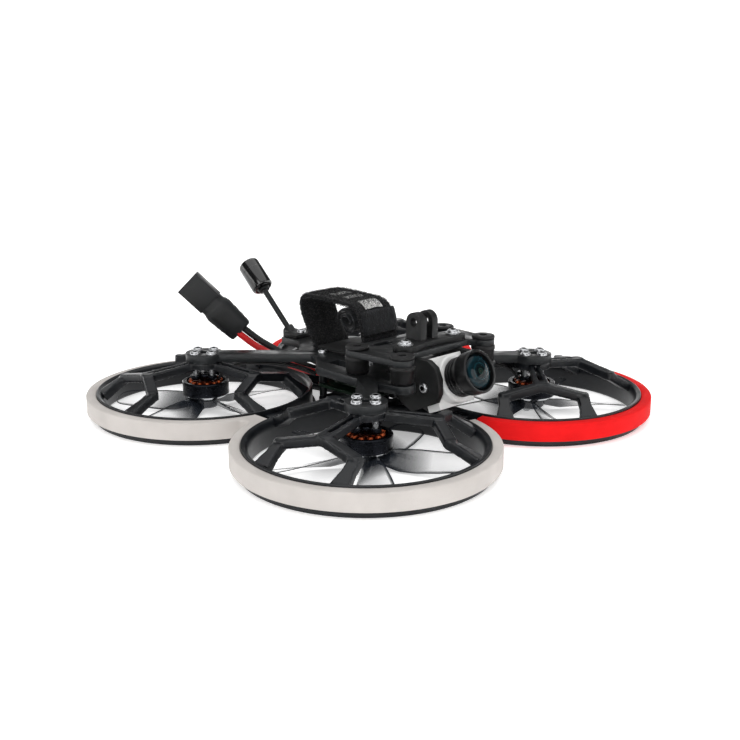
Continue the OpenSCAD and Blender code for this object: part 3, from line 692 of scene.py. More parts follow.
leads = {
    "diameter": 2.8,
    "red": [
        (-7, 16, 14), (-8, 22, 13), (-10, 28, 13.4), (-12.5, 35, 15), (-15, 42, 18), (-19, 48, 21.6),
        (-24.1, 53.0, 27.2),
    ],
    "black": [
        (-3.6, 16, 14), (-4.4, 22, 13), (-6, 29, 13.6), (-8.5, 36, 15.6), (-12, 43, 19.4),
        (-16.4, 48.4, 23.4), (-21.5, 53.5, 29.1),
    ],
}
plug = {"spot": (-22.2, 52.7, 27.4), "yaw": 135.5, "rise": 44, "roll": 90}
plugMatrix = (
    Matrix.Translation(plug["spot"])
    @ Matrix.Rotation(math.radians(plug["yaw"]), 4, "Z")
    @ Matrix.Rotation(math.radians(-plug["rise"]), 4, "Y")
    @ Matrix.Rotation(math.radians(plug["roll"]), 4, "X")
)


# Points round a flat oval in the plug's YZ plane.
def flatLoop(x, wide, high, count=40, ripple=0.0):
    loop = []
    for k in range(count):
        a = 2 * math.pi * k / count
        c, s = math.cos(a), math.sin(a)
        swell = 1 + ripple * noise.noise(Vector((x * 0.9, c * 2.2, s * 2.2)))
        side = math.copysign(abs(c) ** 0.62, c) * wide / 2 * swell
        up = math.copysign(abs(s) ** 0.62, s) * high / 2 * swell
        loop.append(Vector((x, side, up)))
    return loop


def loft(loops, matrix=None):
    count = len(loops[0])
    verts = [matrix @ v if matrix else v for loop in loops for v in loop]
    faces = [
        (i * count + k, i * count + (k + 1) % count, (i + 1) * count + (k + 1) % count, (i + 1) * count + k)
        for i in range(len(loops) - 1)
        for k in range(count)
    ]
    faces.append(tuple(reversed(range(count))))
    faces.append(tuple(range((len(loops) - 1) * count, len(loops) * count)))
    return verts, faces


def buildLeads():
    pieces = {}
    for colour in ("red", "black"):
        line = smoothPath(leads[colour], 6)
        verts, faces = sweep(line, roundSection(leads["diameter"] / 2))
        tube = makeObject(colour + "PowerLead", verts, faces, colour + "Lead")
        faceOutward(tube, weldGap)
        shadeSmooth(tube, 40)
        settle(tube, "frame", "lead_" + colour, "power_lead_" + colour)
        pieces[colour] = (tube, line)

    # heat-shrunk sleeve: narrow at the leads, pulled tight over the plug's solder cups
    stations = [
        (0.0, 9.4, 4.5), (0.3, 10.3, 4.9), (2, 10.9, 5.4), (5, 11.3, 6.0), (9, 11.8, 6.4),
        (12.5, 12.2, 6.7), (14, 11.7, 6.6), (15.2, 10.7, 6.2), (17.15, 10.6, 5.9),
    ]
    loops = []
    for (x0, w0, h0), (x1, w1, h1) in zip(stations, stations[1:]):
        for k in range(4):
            t = k / 4
            loops.append(flatLoop(x0 + (x1 - x0) * t, w0 + (w1 - w0) * t, h0 + (h1 - h0) * t, ripple=0.03))
    loops.append(flatLoop(*stations[-1], ripple=0.03))
    sleeve = makeObject("plugSleeve", *loft(loops, plugMatrix), "sleeve", 50)
    faceOutward(sleeve, weldGap)
    shadeSmooth(sleeve, 50)
    settle(sleeve, "frame", "sleeve_black", "plug_sleeve")

    shell = bevelledCopy("powerPlug", "power_plug", "blackNylon", 0.55, 3)
    settle(shell, "frame", "black_nylon", "power_plug")
    for colour, (tube, line) in pieces.items():
        print(colour, "lead length in mm:", round(pathLength(line), 1))


buildLeads()


ring = {
    "outer": 42.6, "throat": 39.9, "height": 10.0, "segments": 216, "strutAngles": (192, 314, 74),
    "strutWidth": 4.2, "strutHeight": 3.4, "fork": 24.0, "bend": 31.5, "voxel": 0.42, "bossLow": 18.0,
    "bossRadius": 6.9,
}


def polar(r, degrees, z):
    a = math.radians(degrees)
    return Vector((r * math.cos(a), r * math.sin(a), z))


# Upright bar whose top middle line joins p and q.
def barBetween(p, q, wide0, wide1, high):
    ahead = (q - p).normalized()
    side = Vector((ahead.y, -ahead.x, 0)).normalized()
    down = ahead.cross(side)
    if down.z > 0:
        down = -down
    verts = []
    for point, wide in ((p, wide0), (q, wide1)):
        for s, d in ((-1, 0), (1, 0), (1, 1), (-1, 1)):
            verts.append(point + side * s * wide / 2 + down * d * high)
    faces = [(0, 1, 2, 3), (7, 6, 5, 4), (0, 4, 5, 1), (1, 5, 6, 2), (2, 6, 7, 3), (3, 7, 4, 0)]
    return verts, faces


def merged(parts):
    verts, faces = [], []
    for v, f in parts:
        base = len(verts)
        verts += v
        faces += [tuple(base + i for i in face) for face in f]
    return verts, faces


def post(x, y, z0, z1, r, count=24):
    return revolve([(0, z0), (r, z0), (r, z1), (0, z1)], count, Matrix.Translation((x, y, 0)))


def strutParts(a):
    high, wide = ring["strutHeight"], ring["strutWidth"]
    parts = []
    for side in (-1, 1):
        off = polar(1.75 * side, a + 90, 0)
        hubEnd = polar(5.5, a, 20.5) + off * 0.75
        forkEnd = polar(ring["fork"] - 0.6, a, 18.7) + off * 1.05
        parts.append(barBetween(hubEnd, forkEnd, 1.5, 1.7, high))
        fork = polar(ring["fork"], a, 18.6)
        bend = polar(ring["bend"], a + side * 28, 15.6)
        foot = polar(ring["outer"] - 1.4, a + side * 22, 9.3)
        parts.append(barBetween(fork, bend, wide, wide, high))
        parts.append(barBetween(bend, bend.lerp(foot, 0.55), wide, wide, high))
        parts.append(barBetween(bend.lerp(foot, 0.5), foot, wide, wide + 2.6, high))
        parts.append(post(bend.x, bend.y, bend.z - high, bend.z - 0.05, wide / 2 * 1.02))
    node = polar(ring["fork"], a, 0)
    parts.append(post(node.x, node.y, 18.6 - high, 18.6, 2.7))
    return parts


# Boss and struts of one ring, fused and softened as one moulding.
def buildStruts():
    parts = [p for a in ring["strutAngles"] for p in strutParts(a)]
    parts.append(post(0, 0, ring["bossLow"], 20.75, ring["bossRadius"], 48))
    made = makeObject("strutStock", *merged(parts), "nylon")
    faceOutward(made)
    fuse = made.modifiers.new("fuse", "REMESH")
    fuse.mode = "VOXEL"
    fuse.voxel_size = ring["voxel"] * mm
    soften = made.modifiers.new("soften", "SMOOTH")
    soften.factor = 0.5
    soften.iterations = 5
    return applied(made)


def ringProfile():
    outer, throat, high = ring["outer"], ring["throat"], ring["height"]
    lip = [
        (
            throat + 1.7 * (1 - math.sin(math.radians(a))),
            high - 0.2 - 3.4 * (1 - math.cos(math.radians(a))),
        )
        for a in range(0, 91, 9)
    ]
    flange = [
        (throat, 3.6), (throat, 1.0), (throat + 0.2, 0.4), (throat + 0.7, 0.0), (outer + 1.0, 0.0),
        (outer + 1.22, 0.08), (outer + 1.3, 0.3), (outer + 1.3, 2.0), (outer + 1.2, 2.3), (outer + 0.9, 2.6),
    ]
    wall = [(outer, 2.6), (outer, high - 0.35), (outer - 0.08, high - 0.12)]
    return [(outer - 0.3, high), (outer - 0.55, high)] + lip + flange + wall


# Half of the link to each neighbour.
def linkParts():
    outer, reach, wide = ring["outer"], armHalf - 0.04, 4.5
    parts = []
    for flip in (False, True):
        corner = [(outer - 0.9, -wide + 0.3), (reach, -wide), (reach, wide), (outer - 0.9, wide - 0.3)]
        if flip:
            corner = [(y, x) for x, y in corner]
        verts = [Vector((x, y, z)) for z in (1.2, 8.2) for x, y in corner]
        faces = [(3, 2, 1, 0), (4, 5, 6, 7), (0, 1, 5, 4), (1, 2, 6, 5), (2, 3, 7, 6), (3, 0, 4, 7)]
        parts.append((verts, faces))
    return parts


def buildRings():
    strutStock = buildStruts()
    links = makeObject("linkStock", *merged(linkParts()), "nylon")
    faceOutward(links, weldGap)
    rounded = links.modifiers.new("round", "BEVEL")
    rounded.width = 0.5 * mm
    rounded.segments = 3
    applied(links)
    for corner in corners:
        wall = turnedPiece("guardRing_" + corner, ringProfile(), ring["segments"], "nylon")
        joinInto(wall, [strutStock, links])
        moveToCorner(wall, corner)
        shadeSmooth(wall, 40)
        settle(wall, "frame", "duct_nylon", "duct_" + corner)
    discard(strutStock)
    discard(links)


buildRings()
print("guard rings done")


foam = {"inner": 42.66, "outer": 46.55, "low": 2.65, "high": 9.4, "endGap": 12.4, "tipX": -54.0, "notch": 3.0}
foamLevels = [
    # height, how far the outline is drawn in
    (foam["low"], 0.5), (foam["low"] + 0.12, 0.2), (foam["low"] + 0.45, 0), (4.9, 0),
    (7.0, 0), (foam["high"] - 0.5, 0), (foam["high"] - 0.15, 0.16), (foam["high"], 0.5),
]


# Outline of the right-hand strip, nose to tail and back along the rings.
def foamOutline():
    outer, inner, notch = foam["outer"], foam["inner"], foam["notch"]
    reach = math.sqrt((outer + notch) ** 2 - armHalf ** 2)
    meet = math.degrees(math.atan2(armHalf, -reach))
    front, rear = (-armHalf, -armHalf), (-armHalf, armHalf)

    def arc(centre, r, start, end, step=1.5):
        count = max(2, int(abs(end - start) / step))
        return [
            (
                centre[0] + r * math.cos(math.radians(start + (end - start) * k / count)),
                centre[1] + r * math.sin(math.radians(start + (end - start) * k / count)),
            )
            for k in range(count + 1)
        ]

    line = arc(front, outer, -foam["endGap"], meet - 360)
    line += arc((-armHalf - reach, 0), notch, meet - 180, 180 - meet, 8)[1:-1]
    line += arc(rear, outer, 360 - meet, foam["endGap"])
    tip = math.degrees(math.acos((armHalf + foam["tipX"]) / inner))
    line += arc(rear, inner, foam["endGap"], 360 - tip)
    line += arc(front, inner, tip - 360, -foam["endGap"])
    return line[:-1] if (Vector(line[0]) - Vector(line[-1])).length < 0.01 else line


# side is -1 for the craft's right. The top edge is a little wavy, as cut foam is.
def buildFoam(side, finish, slot, node):
    outline = [Vector((p[0], p[1], 0)) for p in foamOutline()]
    count = len(outline)
    loops = []
    for z, inset in foamLevels:
        loop = []
        for i, point in enumerate(outline):
            along = (outline[(i + 1) % count] - outline[i - 1]).normalized()
            outward = Vector((-along.y, along.x, 0))
            wave = 0.09 * noise.noise(Vector((point.x * 0.09, point.y * 0.09, 3.0))) if z > 7 else 0.0
            loop.append(point - outward * inset + Vector((0, 0, z + min(0.0, wave))))
        loops.append(loop)
    verts, faces = loft(loops)
    if side > 0:
        verts = [Vector((-v.x, v.y, v.z)) for v in verts]
    made = makeObject("foamBumper_" + ("left" if side > 0 else "right"), verts, faces, finish, 60)
    faceOutward(made, weldGap)
    shadeSmooth(made, 60)
    return settle(made, "frame", slot, node)


buildFoam(-1, "greyFoam", "foam_grey", "foam_right")
buildFoam(1, "redFoam", "foam_red", "foam_left")
print("foam bumpers done")

screwSides, screwAngle = 24, 40


# Button head screw standing on z = 0, hexagon socket on top, shank below; the socket's walls and floor take a
# darker steel as painted shade in the recess.
def screwMesh(name, headRadius, headHeight, shankRadius, shankLength, socketRadius):
    count = screwSides
    rows = [
        [(0, -shankLength)], (shankRadius * 0.8, -shankLength), (shankRadius, -shankLength + 0.2),
        (shankRadius, 0),
        (headRadius, 0), (headRadius, headHeight * 0.3), (headRadius * 0.93, headHeight * 0.62),
        (headRadius * 0.8, headHeight * 0.86),
        (headRadius * 0.62, headHeight * 0.98), (socketRadius * 1.2, headHeight),
        ("hex", headHeight - 0.05), ("hex", headHeight * 0.35), [(0, headHeight * 0.3)],
    ]
    verts, faces, rings, marks = [], [], [], []
    for row in rows:
        if isinstance(row, list):
            rings.append([len(verts)] * count)
            verts.append(Vector((0, 0, row[0][1])))
            continue
        start = len(verts)
        for k in range(count):
            a = 2 * math.pi * k / count
            r = row[0]
            if r == "hex":
                r = socketRadius * math.cos(math.pi / 6) / math.cos(a % (math.pi / 3) - math.pi / 6)
            verts.append(Vector((r * math.cos(a), r * math.sin(a), row[1])))
        rings.append(list(range(start, start + count)))
    for i, (low, high) in enumerate(zip(rings, rings[1:])):
        for k in range(count):
            j = (k + 1) % count
            face = []
            for v in (low[k], low[j], high[j], high[k]):
                if v not in face:
                    face.append(v)
            faces.append(tuple(face))
            # the last rows, the socket's walls and floor, take the dark socket finish: painted shade
            marks.append(1 if i >= len(rings) - 3 else 0)
    made = makeObject(name, verts, faces, ["steel", "socket"], screwAngle)
    for face, mark in zip(made.data.polygons, marks):
        face.material_index = mark
    return made


# Copies of one screw on its seats, each socket turned its own way.
def seatedScrews(name, seats, part, node, seed, extra=()):
    made = pointObject(name, seats)
    runTree(made, seatCopies, {"Part": part, "Seed": seed})
    joinInto(made, extra)
    for piece in [part, *extra]:
        discard(piece)
    shadeSmooth(made, screwAngle)
    return settle(made, "frame", "screw_steel", node)


plate = {"low": 20.8, "thick": 3.0, "deckLow": 30.6, "deckThick": 2.2, "barThick": 2.2}
armTop = plate["low"] + plate["thick"]
deckTop = plate["deckLow"] + plate["deckThick"]


def washer(x, y, z, outer, inner, thick):
    edge = 0.1
    profile = [
        (inner, 0), (outer - edge, 0), (outer, edge), (outer, thick - edge), (outer - edge, thick),
        (inner, thick),
    ]
    return turnedPiece("washer", profile, 32, ["steel", "socket"], Matrix.Translation((x, y, z)))


def buildScrews():
    motorScrew = screwMesh("motorScrewPart", 2.0, 1.2, 1.0, armTop - 14.1, 1.05)
    seats = [
        (cx * armHalf + 4.5 * math.cos(a), cy * armHalf + 4.5 * math.sin(a), armTop)
        for cx, cy in corners.values() for a in (0, math.pi / 2, math.pi, 1.5 * math.pi)
    ]
    seatedScrews("motorScrews", seats, motorScrew, "motor_screws", 3)

    deckScrew = screwMesh("deckScrewPart", 2.2, 1.2, 1.2, plate["barThick"] + plate["deckThick"] + 0.4, 1.15)
    deckSeats = [(sx * 13.1, -32.7, deckTop + plate["barThick"] + 0.5) for sx in (-1, 1)]
    washers = [washer(x, y, z - 0.5, 2.9, 1.25, 0.5) for x, y, z in deckSeats]
    footScrew = screwMesh("footScrewPart", 1.9, 1.2, 1.0, plate["thick"] + 1.5, 0.95)
    footCopy = pointObject("footCopy", [(0, 40.4, armTop + 1.6)])
    runTree(footCopy, seatCopies, {"Part": footScrew, "Seed": 5})
    discard(footScrew)
    seatedScrews("deckScrews", deckSeats, deckScrew, "mount_screws", 4, washers + [footCopy])

    postScrew = screwMesh("postScrewPart", 1.9, 1.2, 1.0, armTop - 2.4, 0.95)
    postSeats = [(sx * 12.75, sy * 12.75, armTop) for sx in (-1, 1) for sy in (-1, 1)]
    nutProfile = [(1.02, 0), (2.05, 0), (2.2, 0.18), (2.2, 1.42), (2.05, 1.6), (1.02, 1.6)]
    nuts = [
        turnedPiece("nut", nutProfile, 6, ["steel", "socket"], Matrix.Translation((x, y, 2.4)))
        for x, y, z in postSeats
    ]
    seatedScrews("stackPosts", postSeats, postScrew, "stack_posts", 6, nuts)


buildScrews()


motor = {"bellLow": 6.3, "bellHigh": 12.5, "bellRadius": 9.25, "coils": 12, "shaft": 0.75}


def bellProfile():
    r, low, high = motor["bellRadius"], motor["bellLow"], motor["bellHigh"]
    return [
        (0, low), (5.4, low), (5.6, low + 0.25), (7.4, low + 0.25), (7.6, low), (r - 1.15, low),
        (r - 0.05, low + 0.82), (r, low + 0.95),
        (r, low + 1.5), (r - 0.12, low + 1.62), (r - 0.12, high - 1.3), (r, high - 1.18),
        (r, high - 0.35), (r - 0.3, high), (7.75, high), (7.6, high - 0.15),
        (7.6, low + 1.4), (motor["shaft"] + 0.9, low + 1.4), (motor["shaft"] + 0.6, low + 1.9),
        (motor["shaft"], low + 2.0), (motor["shaft"], 15.1), (0, 15.1),
    ]


def buildMotors():
    stations = [
        # distance from the axis, width, height
        (3.7, 1.2, 2.6), (4.0, 1.9, 3.4), (4.6, 2.3, 4.2), (5.4, 2.55, 4.5), (6.2, 2.5, 4.4),
        (6.7, 2.0, 3.8), (6.9, 1.3, 3.0),
    ]
    coil = makeObject("coilPart", *loft([flatLoop(x, w, h, 16) for x, w, h in stations]), "copper", 60)
    for vertex in coil.data.vertices:
        # each turn of wire stands out as a ridge
        x, y, z = (c / mm for c in vertex.co)
        ridge = 1 + 0.05 * math.sin(x * 14)
        vertex.co = Vector((x, y * 0.86 * ridge, z * ridge + 10.85)) * mm
    faceOutward(coil, weldGap)
    for corner in corners:
        bell = turnedPiece("motorBell_" + corner, bellProfile(), 96, ["anodised", "brightCut"])
        for face in bell.data.polygons:
            z = face.center.z / mm
            r = math.hypot(face.center.x, face.center.y) / mm
            steel = r < motor["shaft"] * 1.1 and z > 8.5
            cut = r > 8.1 and z < motor["bellLow"] + 0.9
            face.material_index = 1 if (steel or cut) else 0
        moveToCorner(bell, corner)
        shadeSmooth(bell, 30)
        settle(bell, "rotor_" + corner, "motor_alloy", "motor_bell_" + corner)

        wound = pointObject("windings_" + corner, [(0, 0, 0)])
        runTree(
            wound, radialCopies,
            {"Part": coil, "Count": motor["coils"], "Start": 0.0, "Finish": finishes["copper"]},
        )
        core = turnedPiece("core", [(2.55, 8.9), (4.3, 8.9), (4.3, 12.7), (2.55, 12.7)], 48, "copper")
        joinInto(wound, [core])
        discard(core)
        moveToCorner(wound, corner)
        shadeSmooth(wound, 60)
        settle(wound, "frame", "copper_wire", "windings_" + corner)

        base = bevelledCopy("motorBase_" + corner, "motor_base_" + corner, "anodised", 0.15)
        settle(base, "frame", "motor_alloy", "motor_base_" + corner)
    discard(coil)


buildMotors()

propeller = {
    "tip": 37.0, "root": 4.6, "blades": 5, "start": 18, "height": 3.9, "twist": 9.3, "steepest": 40,
    "spans": 30, "around": 18,
    "hubFoot": 1.6, "screwReach": 2.5,
}


# Leading and trailing edge at radius r, before the twist.
def bladeChord(r):
    stations = [
        (4, -2.6, 2.6), (7, -3.6, 3.2), (12, -5.4, 4.0), (18, -6.6, 4.7), (25, -6.9, 4.9),
        (31, -6.6, 4.9), (34.5, -6.2, 4.2), (36.2, -5.0, 2.6), (37.0, -2.6, 0.2),
    ]
    for (r0, a0, b0), (r1, a1, b1) in zip(stations, stations[1:]):
        if r <= r1:
            t = max(0.0, (r - r0) / (r1 - r0))
            return a0 + (a1 - a0) * t, b0 + (b1 - b0) * t
    return stations[-1][1:]


# One twisted blade along +X; u runs round the section, v from hub to tip.
def buildBlade():
    spans, around = propeller["spans"], propeller["around"]
    verts, faces, uvs = [], [], []
    for i in range(spans + 1):
        t = i / spans
        r = propeller["root"] + (propeller["tip"] - propeller["root"]) * (1 - (1 - t) ** 1.35)
        lead, trail = bladeChord(r)
        pitch = min(math.radians(propeller["steepest"]), math.atan(propeller["twist"] / r))
        thick = 0.95 - 0.5 * t
        for k in range(around):
            a = 2 * math.pi * k / around
            c = 0.5 - 0.5 * math.cos(a)
            y = lead + (trail - lead) * c
            fullness = 0.35 + 0.65 * math.sin(math.pi * (0.15 + 0.75 * (1 - c)))
            body = thick * 0.5 * math.copysign(abs(math.sin(a)) ** 0.7, math.sin(a)) * fullness
            camber = 0.06 * (trail - lead) * math.sin(math.pi * c)
            z = body + camber
            across = y * math.cos(pitch) - z * math.sin(pitch)
            up = y * math.sin(pitch) + z * math.cos(pitch) + propeller["height"]
            verts.append(Vector((r, across, up)))
            uvs.append((c, t))
    for i in range(spans):
        for k in range(around):
            j = (k + 1) % around
            faces.append((i * around + k, i * around + j, (i + 1) * around + j, (i + 1) * around + k))
    faces.append(tuple(reversed(range(around))))
    faces.append(tuple(range(spans * around, (spans + 1) * around)))
    made = makeObject("bladePart", verts, faces, "blade", 50, uvs)
    faceOutward(made)
    return made


def buildPropellers():
    blade = buildBlade()
    screwPart = screwMesh("propScrewPart", 1.5, 1.1, 0.75, 5.6, 0.62)
    hubProfile = [
        (0, 1.6), (3.9, 1.6), (4.5, 1.75), (5.3, 2.6), (5.5, 3.1), (5.5, 5.4), (5.35, 5.9), (5.0, 6.28),
        (0, 6.28),
    ]
    for corner in corners:
        made = pointObject("propeller_" + corner, [(0, 0, 0)])
        runTree(
            made, radialCopies,
            {
                "Part": blade, "Count": propeller["blades"], "Start": math.radians(propeller["start"]),
                "Finish": finishes["blade"],
            },
        )
        hub = turnedPiece("hub", hubProfile, 64, "blade", uv=True)
        for loop in hub.data.uv_layers[0].data:
            loop.uv = (0.5, 0.0)
        joinInto(made, [hub])
        discard(hub)
        moveToCorner(made, corner)
        shadeSmooth(made, 50)
        settle(made, "rotor_" + corner, "smoke_blades", "propeller_" + corner)

        screws = pointObject("propScrews_" + corner, [])
        for key in ("steel", "socket"):
            screws.data.materials.append(finishes[key])
        for x in (-propeller["screwReach"], propeller["screwReach"]):
            screw = bpy.data.objects.new("propScrew", screwPart.data.copy())
            for vertex in screw.data.vertices:
                # the heads look down
                vertex.co = Vector(
                    (vertex.co.x + x * mm, -vertex.co.y, propeller["hubFoot"] * mm - vertex.co.z)
                )
            joinInto(screws, [screw])
            discard(screw)
        moveToCorner(screws, corner)
        shadeSmooth(screws, 40)
        settle(screws, "rotor_" + corner, "screw_steel", "prop_screws_" + corner)
    discard(blade)
    discard(screwPart)


buildPropellers()
print("motors and propellers done")


hardParts = [
    # piece, node, finish, edge radius, slot, body
    ("armPlate", "arm_plate", "carbon", 0.22, "carbon", "frame"),
    ("cameraDeck", "upper_plate", "carbon", 0.22, "carbon", "frame"),
    ("bottomPlate", "bottom_plate", "carbon", 0.18, "carbon", "frame"),
    ("stackSpacers", "stack_spacers", "blackNylon", 0.12, "black_nylon", "frame"),
    ("deckDampers", "dampers", "rubber", 0.2, "damper_rubber", "frame"),
    ("actionCameraMount", "action_camera_mount", "printed", 0.4, "printed_black", "frame"),
    ("cameraCheeks", "camera_cheeks", "printed", 0.35, "printed_black", "frame"),
    ("cameraShell", "camera_shell", "whiteAbs", 0.5, "white_shell", "camera"),
    ("cameraBack", "camera_back", "blackAbs", 0.5, "camera_black", "camera"),
    ("flightController", "flight_controller", "solderMask", 0.08, "board", "frame"),
    ("boardComponents", "board_components", "chip", 0.1, "chips", "frame"),
    ("videoTransmitter", "video_transmitter", "solderMask", 0.12, "board", "frame"),
    ("heatsink", "heatsink", "finned", 0.1, "heatsink_alloy", "frame"),
    ("bindButton", "bind_button", "button", 0.25, "button_white", "bind_button"),
    ("receiver", "receiver", "blueMask", 0.1, "board_blue", "frame"),
    ("capacitor", "capacitor", "capSleeve", 0.3, "capacitor_sleeve", "frame"),
    ("antennaStalk", "antenna_stalk", "sleeve", 0.3, "sleeve_black", "frame"),
    ("antennaFoot", "antenna_mount", "printed", 0.3, "printed_black", "frame"),
    ("batteryPad", "battery_pad", "grip", 0.3, "pad_rubber", "frame"),
]
for piece, node, finish, edge, slot, body in hardParts:
    settle(bevelledCopy(piece, node, finish, edge), body, slot, node)
print("hard parts done")


camera = {"pivot": (0, -41.5, 20.4), "tilt": 24, "front": 2.0, "cheek": 12.4}
cameraMatrix = (
    Matrix.Translation(camera["pivot"])
    @ Matrix.Rotation(math.radians(-camera["tilt"]), 4, "X")
    @ Matrix.Rotation(math.radians(90), 4, "X")
)


def buildCamera():
    f = camera["front"]
    barrel = [
        (0, f - 2.9), (5.4, f - 2.9), (5.4, f + 1.5), (6.5, f + 1.5), (6.8, f + 1.8), (6.8, f + 3.9),
        (7.1, f + 4.4), (7.4, f + 4.8),
        (7.4, f + 5.4), (7.1, f + 5.6), (7.1, f + 5.9), (7.4, f + 6.1), (7.4, f + 6.8), (7.1, f + 7.0),
        (7.1, f + 7.3), (7.4, f + 7.5),
        (7.4, f + 8.5), (7.7, f + 9.3), (8.05, f + 10.3), (8.1, f + 11.0), (8.1, f + 14.6),
        (8.0, f + 15.1), (7.75, f + 15.35), (7.3, f + 15.4),
        (7.05, f + 15.1), (6.95, f + 14.2), (6.7, f + 13.5), (0, f + 13.5),
    ]
    tube = turnedPiece("lensBarrel", barrel, 96, "blackAbs", cameraMatrix, 28)
    settle(tube, "camera", "camera_black", "lens_barrel")
    bulge = [
        (6.62 * math.cos(math.radians(a)), f + 13.5 + 2.1 * math.sin(math.radians(a)))
        for a in range(0, 91, 6)
    ]
    dome = [(0, f + 13.42), (6.62, f + 13.42)] + bulge
    dome[-1] = (0, f + 15.6)
    glass = turnedPiece("lensGlass", dome, 96, "glass", cameraMatrix, 40, uv=True)
    settle(glass, "camera", "lens_glass", "lens_glass")

    pivot = screwMesh("pivotScrew", 1.9, 1.2, 0.9, 4.6, 1.0)
    both = pointObject("cameraScrews", [])
    for key in ("steel", "socket"):
        both.data.materials.append(finishes[key])
    for sx in (-1, 1):
        head = bpy.data.objects.new("pivotHead", pivot.data.copy())
        seat = (sx * camera["cheek"] * mm, camera["pivot"][1] * mm, camera["pivot"][2] * mm)
        head.data.transform(Matrix.Translation(seat) @ Matrix.Rotation(sx * math.pi / 2, 4, "Y"))
        joinInto(both, [head])
        discard(head)
    shadeSmooth(both, screwAngle)
    settle(both, "frame", "screw_steel", "camera_screws")
    discard(pivot)


buildCamera()


antenna = {"foot": (0, 46.4, 23.4), "lean": 47.5, "low": 25.5, "high": 40.0}


def buildAntennaCap():
    low, high = antenna["low"], antenna["high"]
    profile = [
        (0, low), (3.6, low), (3.95, low + 0.15), (4.55, low + 0.7), (4.7, low + 1.1), (4.7, low + 9.6),
        (4.62, low + 9.7), (4.62, low + 9.9), (4.7, low + 10.0),
    ]
    profile += [
        (4.7 - 1.7 * (1 - math.cos(math.radians(a))), high - 1.7 + 1.7 * math.sin(math.radians(a)))
        for a in range(0, 91, 15)
    ] + [(0, high)]
    matrix = Matrix.Translation(antenna["foot"]) @ Matrix.Rotation(math.radians(-antenna["lean"]), 4, "X")
    settle(turnedPiece("antennaCap", profile, 96, "gloss", matrix, 30), "frame", "gloss_black", "antenna_cap")


buildAntennaCap()


def buildMotorLeads():
    route = [
        (31.2, 31.2, 14.9), (27.5, 27.5, 17.2), (22, 22, 19.2), (12, 12, 19.8), (8, 8, 18.6),
        (5.4, 5.4, 16.4), (3.9, 3.9, 13.6),
    ]
    parts = []
    for corner in corners:
        for k in (-1, 0, 1):
            line = smoothPath([toCorner(corner, (x + 1.1 * k, y - 1.1 * k, z)) for x, y, z in route], 5)
            parts.append(sweep(line, roundSection(0.6, 10)))
    made = makeObject("motorLeads", *merged(parts), "blackLead", 50)
    faceOutward(made)
    settle(made, "frame", "lead_black", "motor_leads")


buildMotorLeads()


strap = {
    "width": 18.0, "thick": 2.0, "frontSlot": -9.3, "rearSlot": 21.4, "seed": 7, "fibres": 9.0e6,
    "across": 18, "edgeRound": 0.35, "ragged": 0.12, "nap": 0.07, "draw": 1 - 0.004, "fibreLength": 1.0,
    "fibreThick": 0.06,
    "tailCentre": (2.9, 37.4), "tailTilt": 30, "tailWide": 6.3, "tailHigh": 5.1, "tailTurns": 1.5,
}


def strapLine():
    front, rear = strap["frontSlot"], strap["rearSlot"]
    return [
        (front - 1, 18.75), (rear + 1, 18.75), (rear + 1.1, 21), (rear + 1.4, 24.4), (26.7, 30),
        (29.9, 36), (31.1, 40.5), (30.1, 43.5), (27.1, 45.1),
        (22, 45.5), (14, 45.5), (7, 45.3), (1, 44.9), (-2.6, 43.3), (-4.8, 40.3), (-6, 36.4), (-7, 32),
        (-8.8, 28), (-10.2, 24.4), (-10.5, 21),
    ]


# Webbing that follows a line in the YZ plane: outer face on the line, rounded edges, small wrinkles;
# u runs along it, v across.
def ribbonPiece(name, line, thick, finish, closed, seed, wrinkle=0.16, width=strap["width"]):
    across = strap["across"]
    count = len(line)
    total = [0.0]
    for a, b in zip(line, line[1:]):
        total.append(total[-1] + (b - a).length)
    whole = total[-1] + ((line[0] - line[-1]).length if closed else 0)
    verts, faces, uvs = [], [], []
    around = [(j / across, False) for j in range(across + 1)]
    around += [(j / across, True) for j in range(across, -1, -1)]
    for i, point in enumerate(line):
        before = line[i - 1] if (i or closed) else line[0]
        after = line[(i + 1) % count] if (i < count - 1 or closed) else line[-1]
        ahead = (after - before).normalized()
        inward = Vector((0, -ahead.z, ahead.y))
        ragged = max(0.0, strap["ragged"] * noise.noise(Vector((total[i] * 0.25, seed, 5.0))))
        for s, inside in around:
            x = (s - 0.5) * width
            near = min(s, 1 - s) * width
            rounding = strap["edgeRound"] * max(0.0, 1 - near / 0.8) ** 2
            wave = wrinkle * noise.noise(Vector((x * 0.22, total[i] * 0.35, seed))) * min(1.0, near / 2 + 0.3)
            nap = strap["nap"] * noise.noise(Vector((x * 1.7, total[i] * 1.7, seed + 9)))
            depth = thick - rounding if inside else abs(wave) + rounding + abs(nap)
            side = x * strap["draw"] - (math.copysign(ragged, x) if s in (0.0, 1.0) else 0)
            verts.append(Vector((side, point.y, point.z)) + inward * depth)
            uvs.append((total[i] / whole, s))
    n = len(around)
    for i in range(count if closed else count - 1):
        i2 = (i + 1) % count
        for k in range(n):
            j = (k + 1) % n
            faces.append((i * n + k, i * n + j, i2 * n + j, i2 * n + k))
    if not closed:
        faces.append(tuple(reversed(range(n))))
        faces.append(tuple(range((count - 1) * n, count * n)))
    made = makeObject(name, verts, faces, finish, 50, uvs)
    faceOutward(made)
    return made, whole


# Loose loops and fibres standing off the webbing, as a piece of their own.
def addFuzz(made):
    copy = bpy.data.objects.new("strapFuzz", made.data.copy())
    scene.collection.objects.link(copy)
    values = {
        "Density": strap["fibres"], "Length": strap["fibreLength"] * mm,
        "Thickness": strap["fibreThick"] * mm,
    }
    runTree(copy, looseFibres, {**values, "Seed": strap["seed"], "Finish": finishes["darkWebbing"]})
    return copy


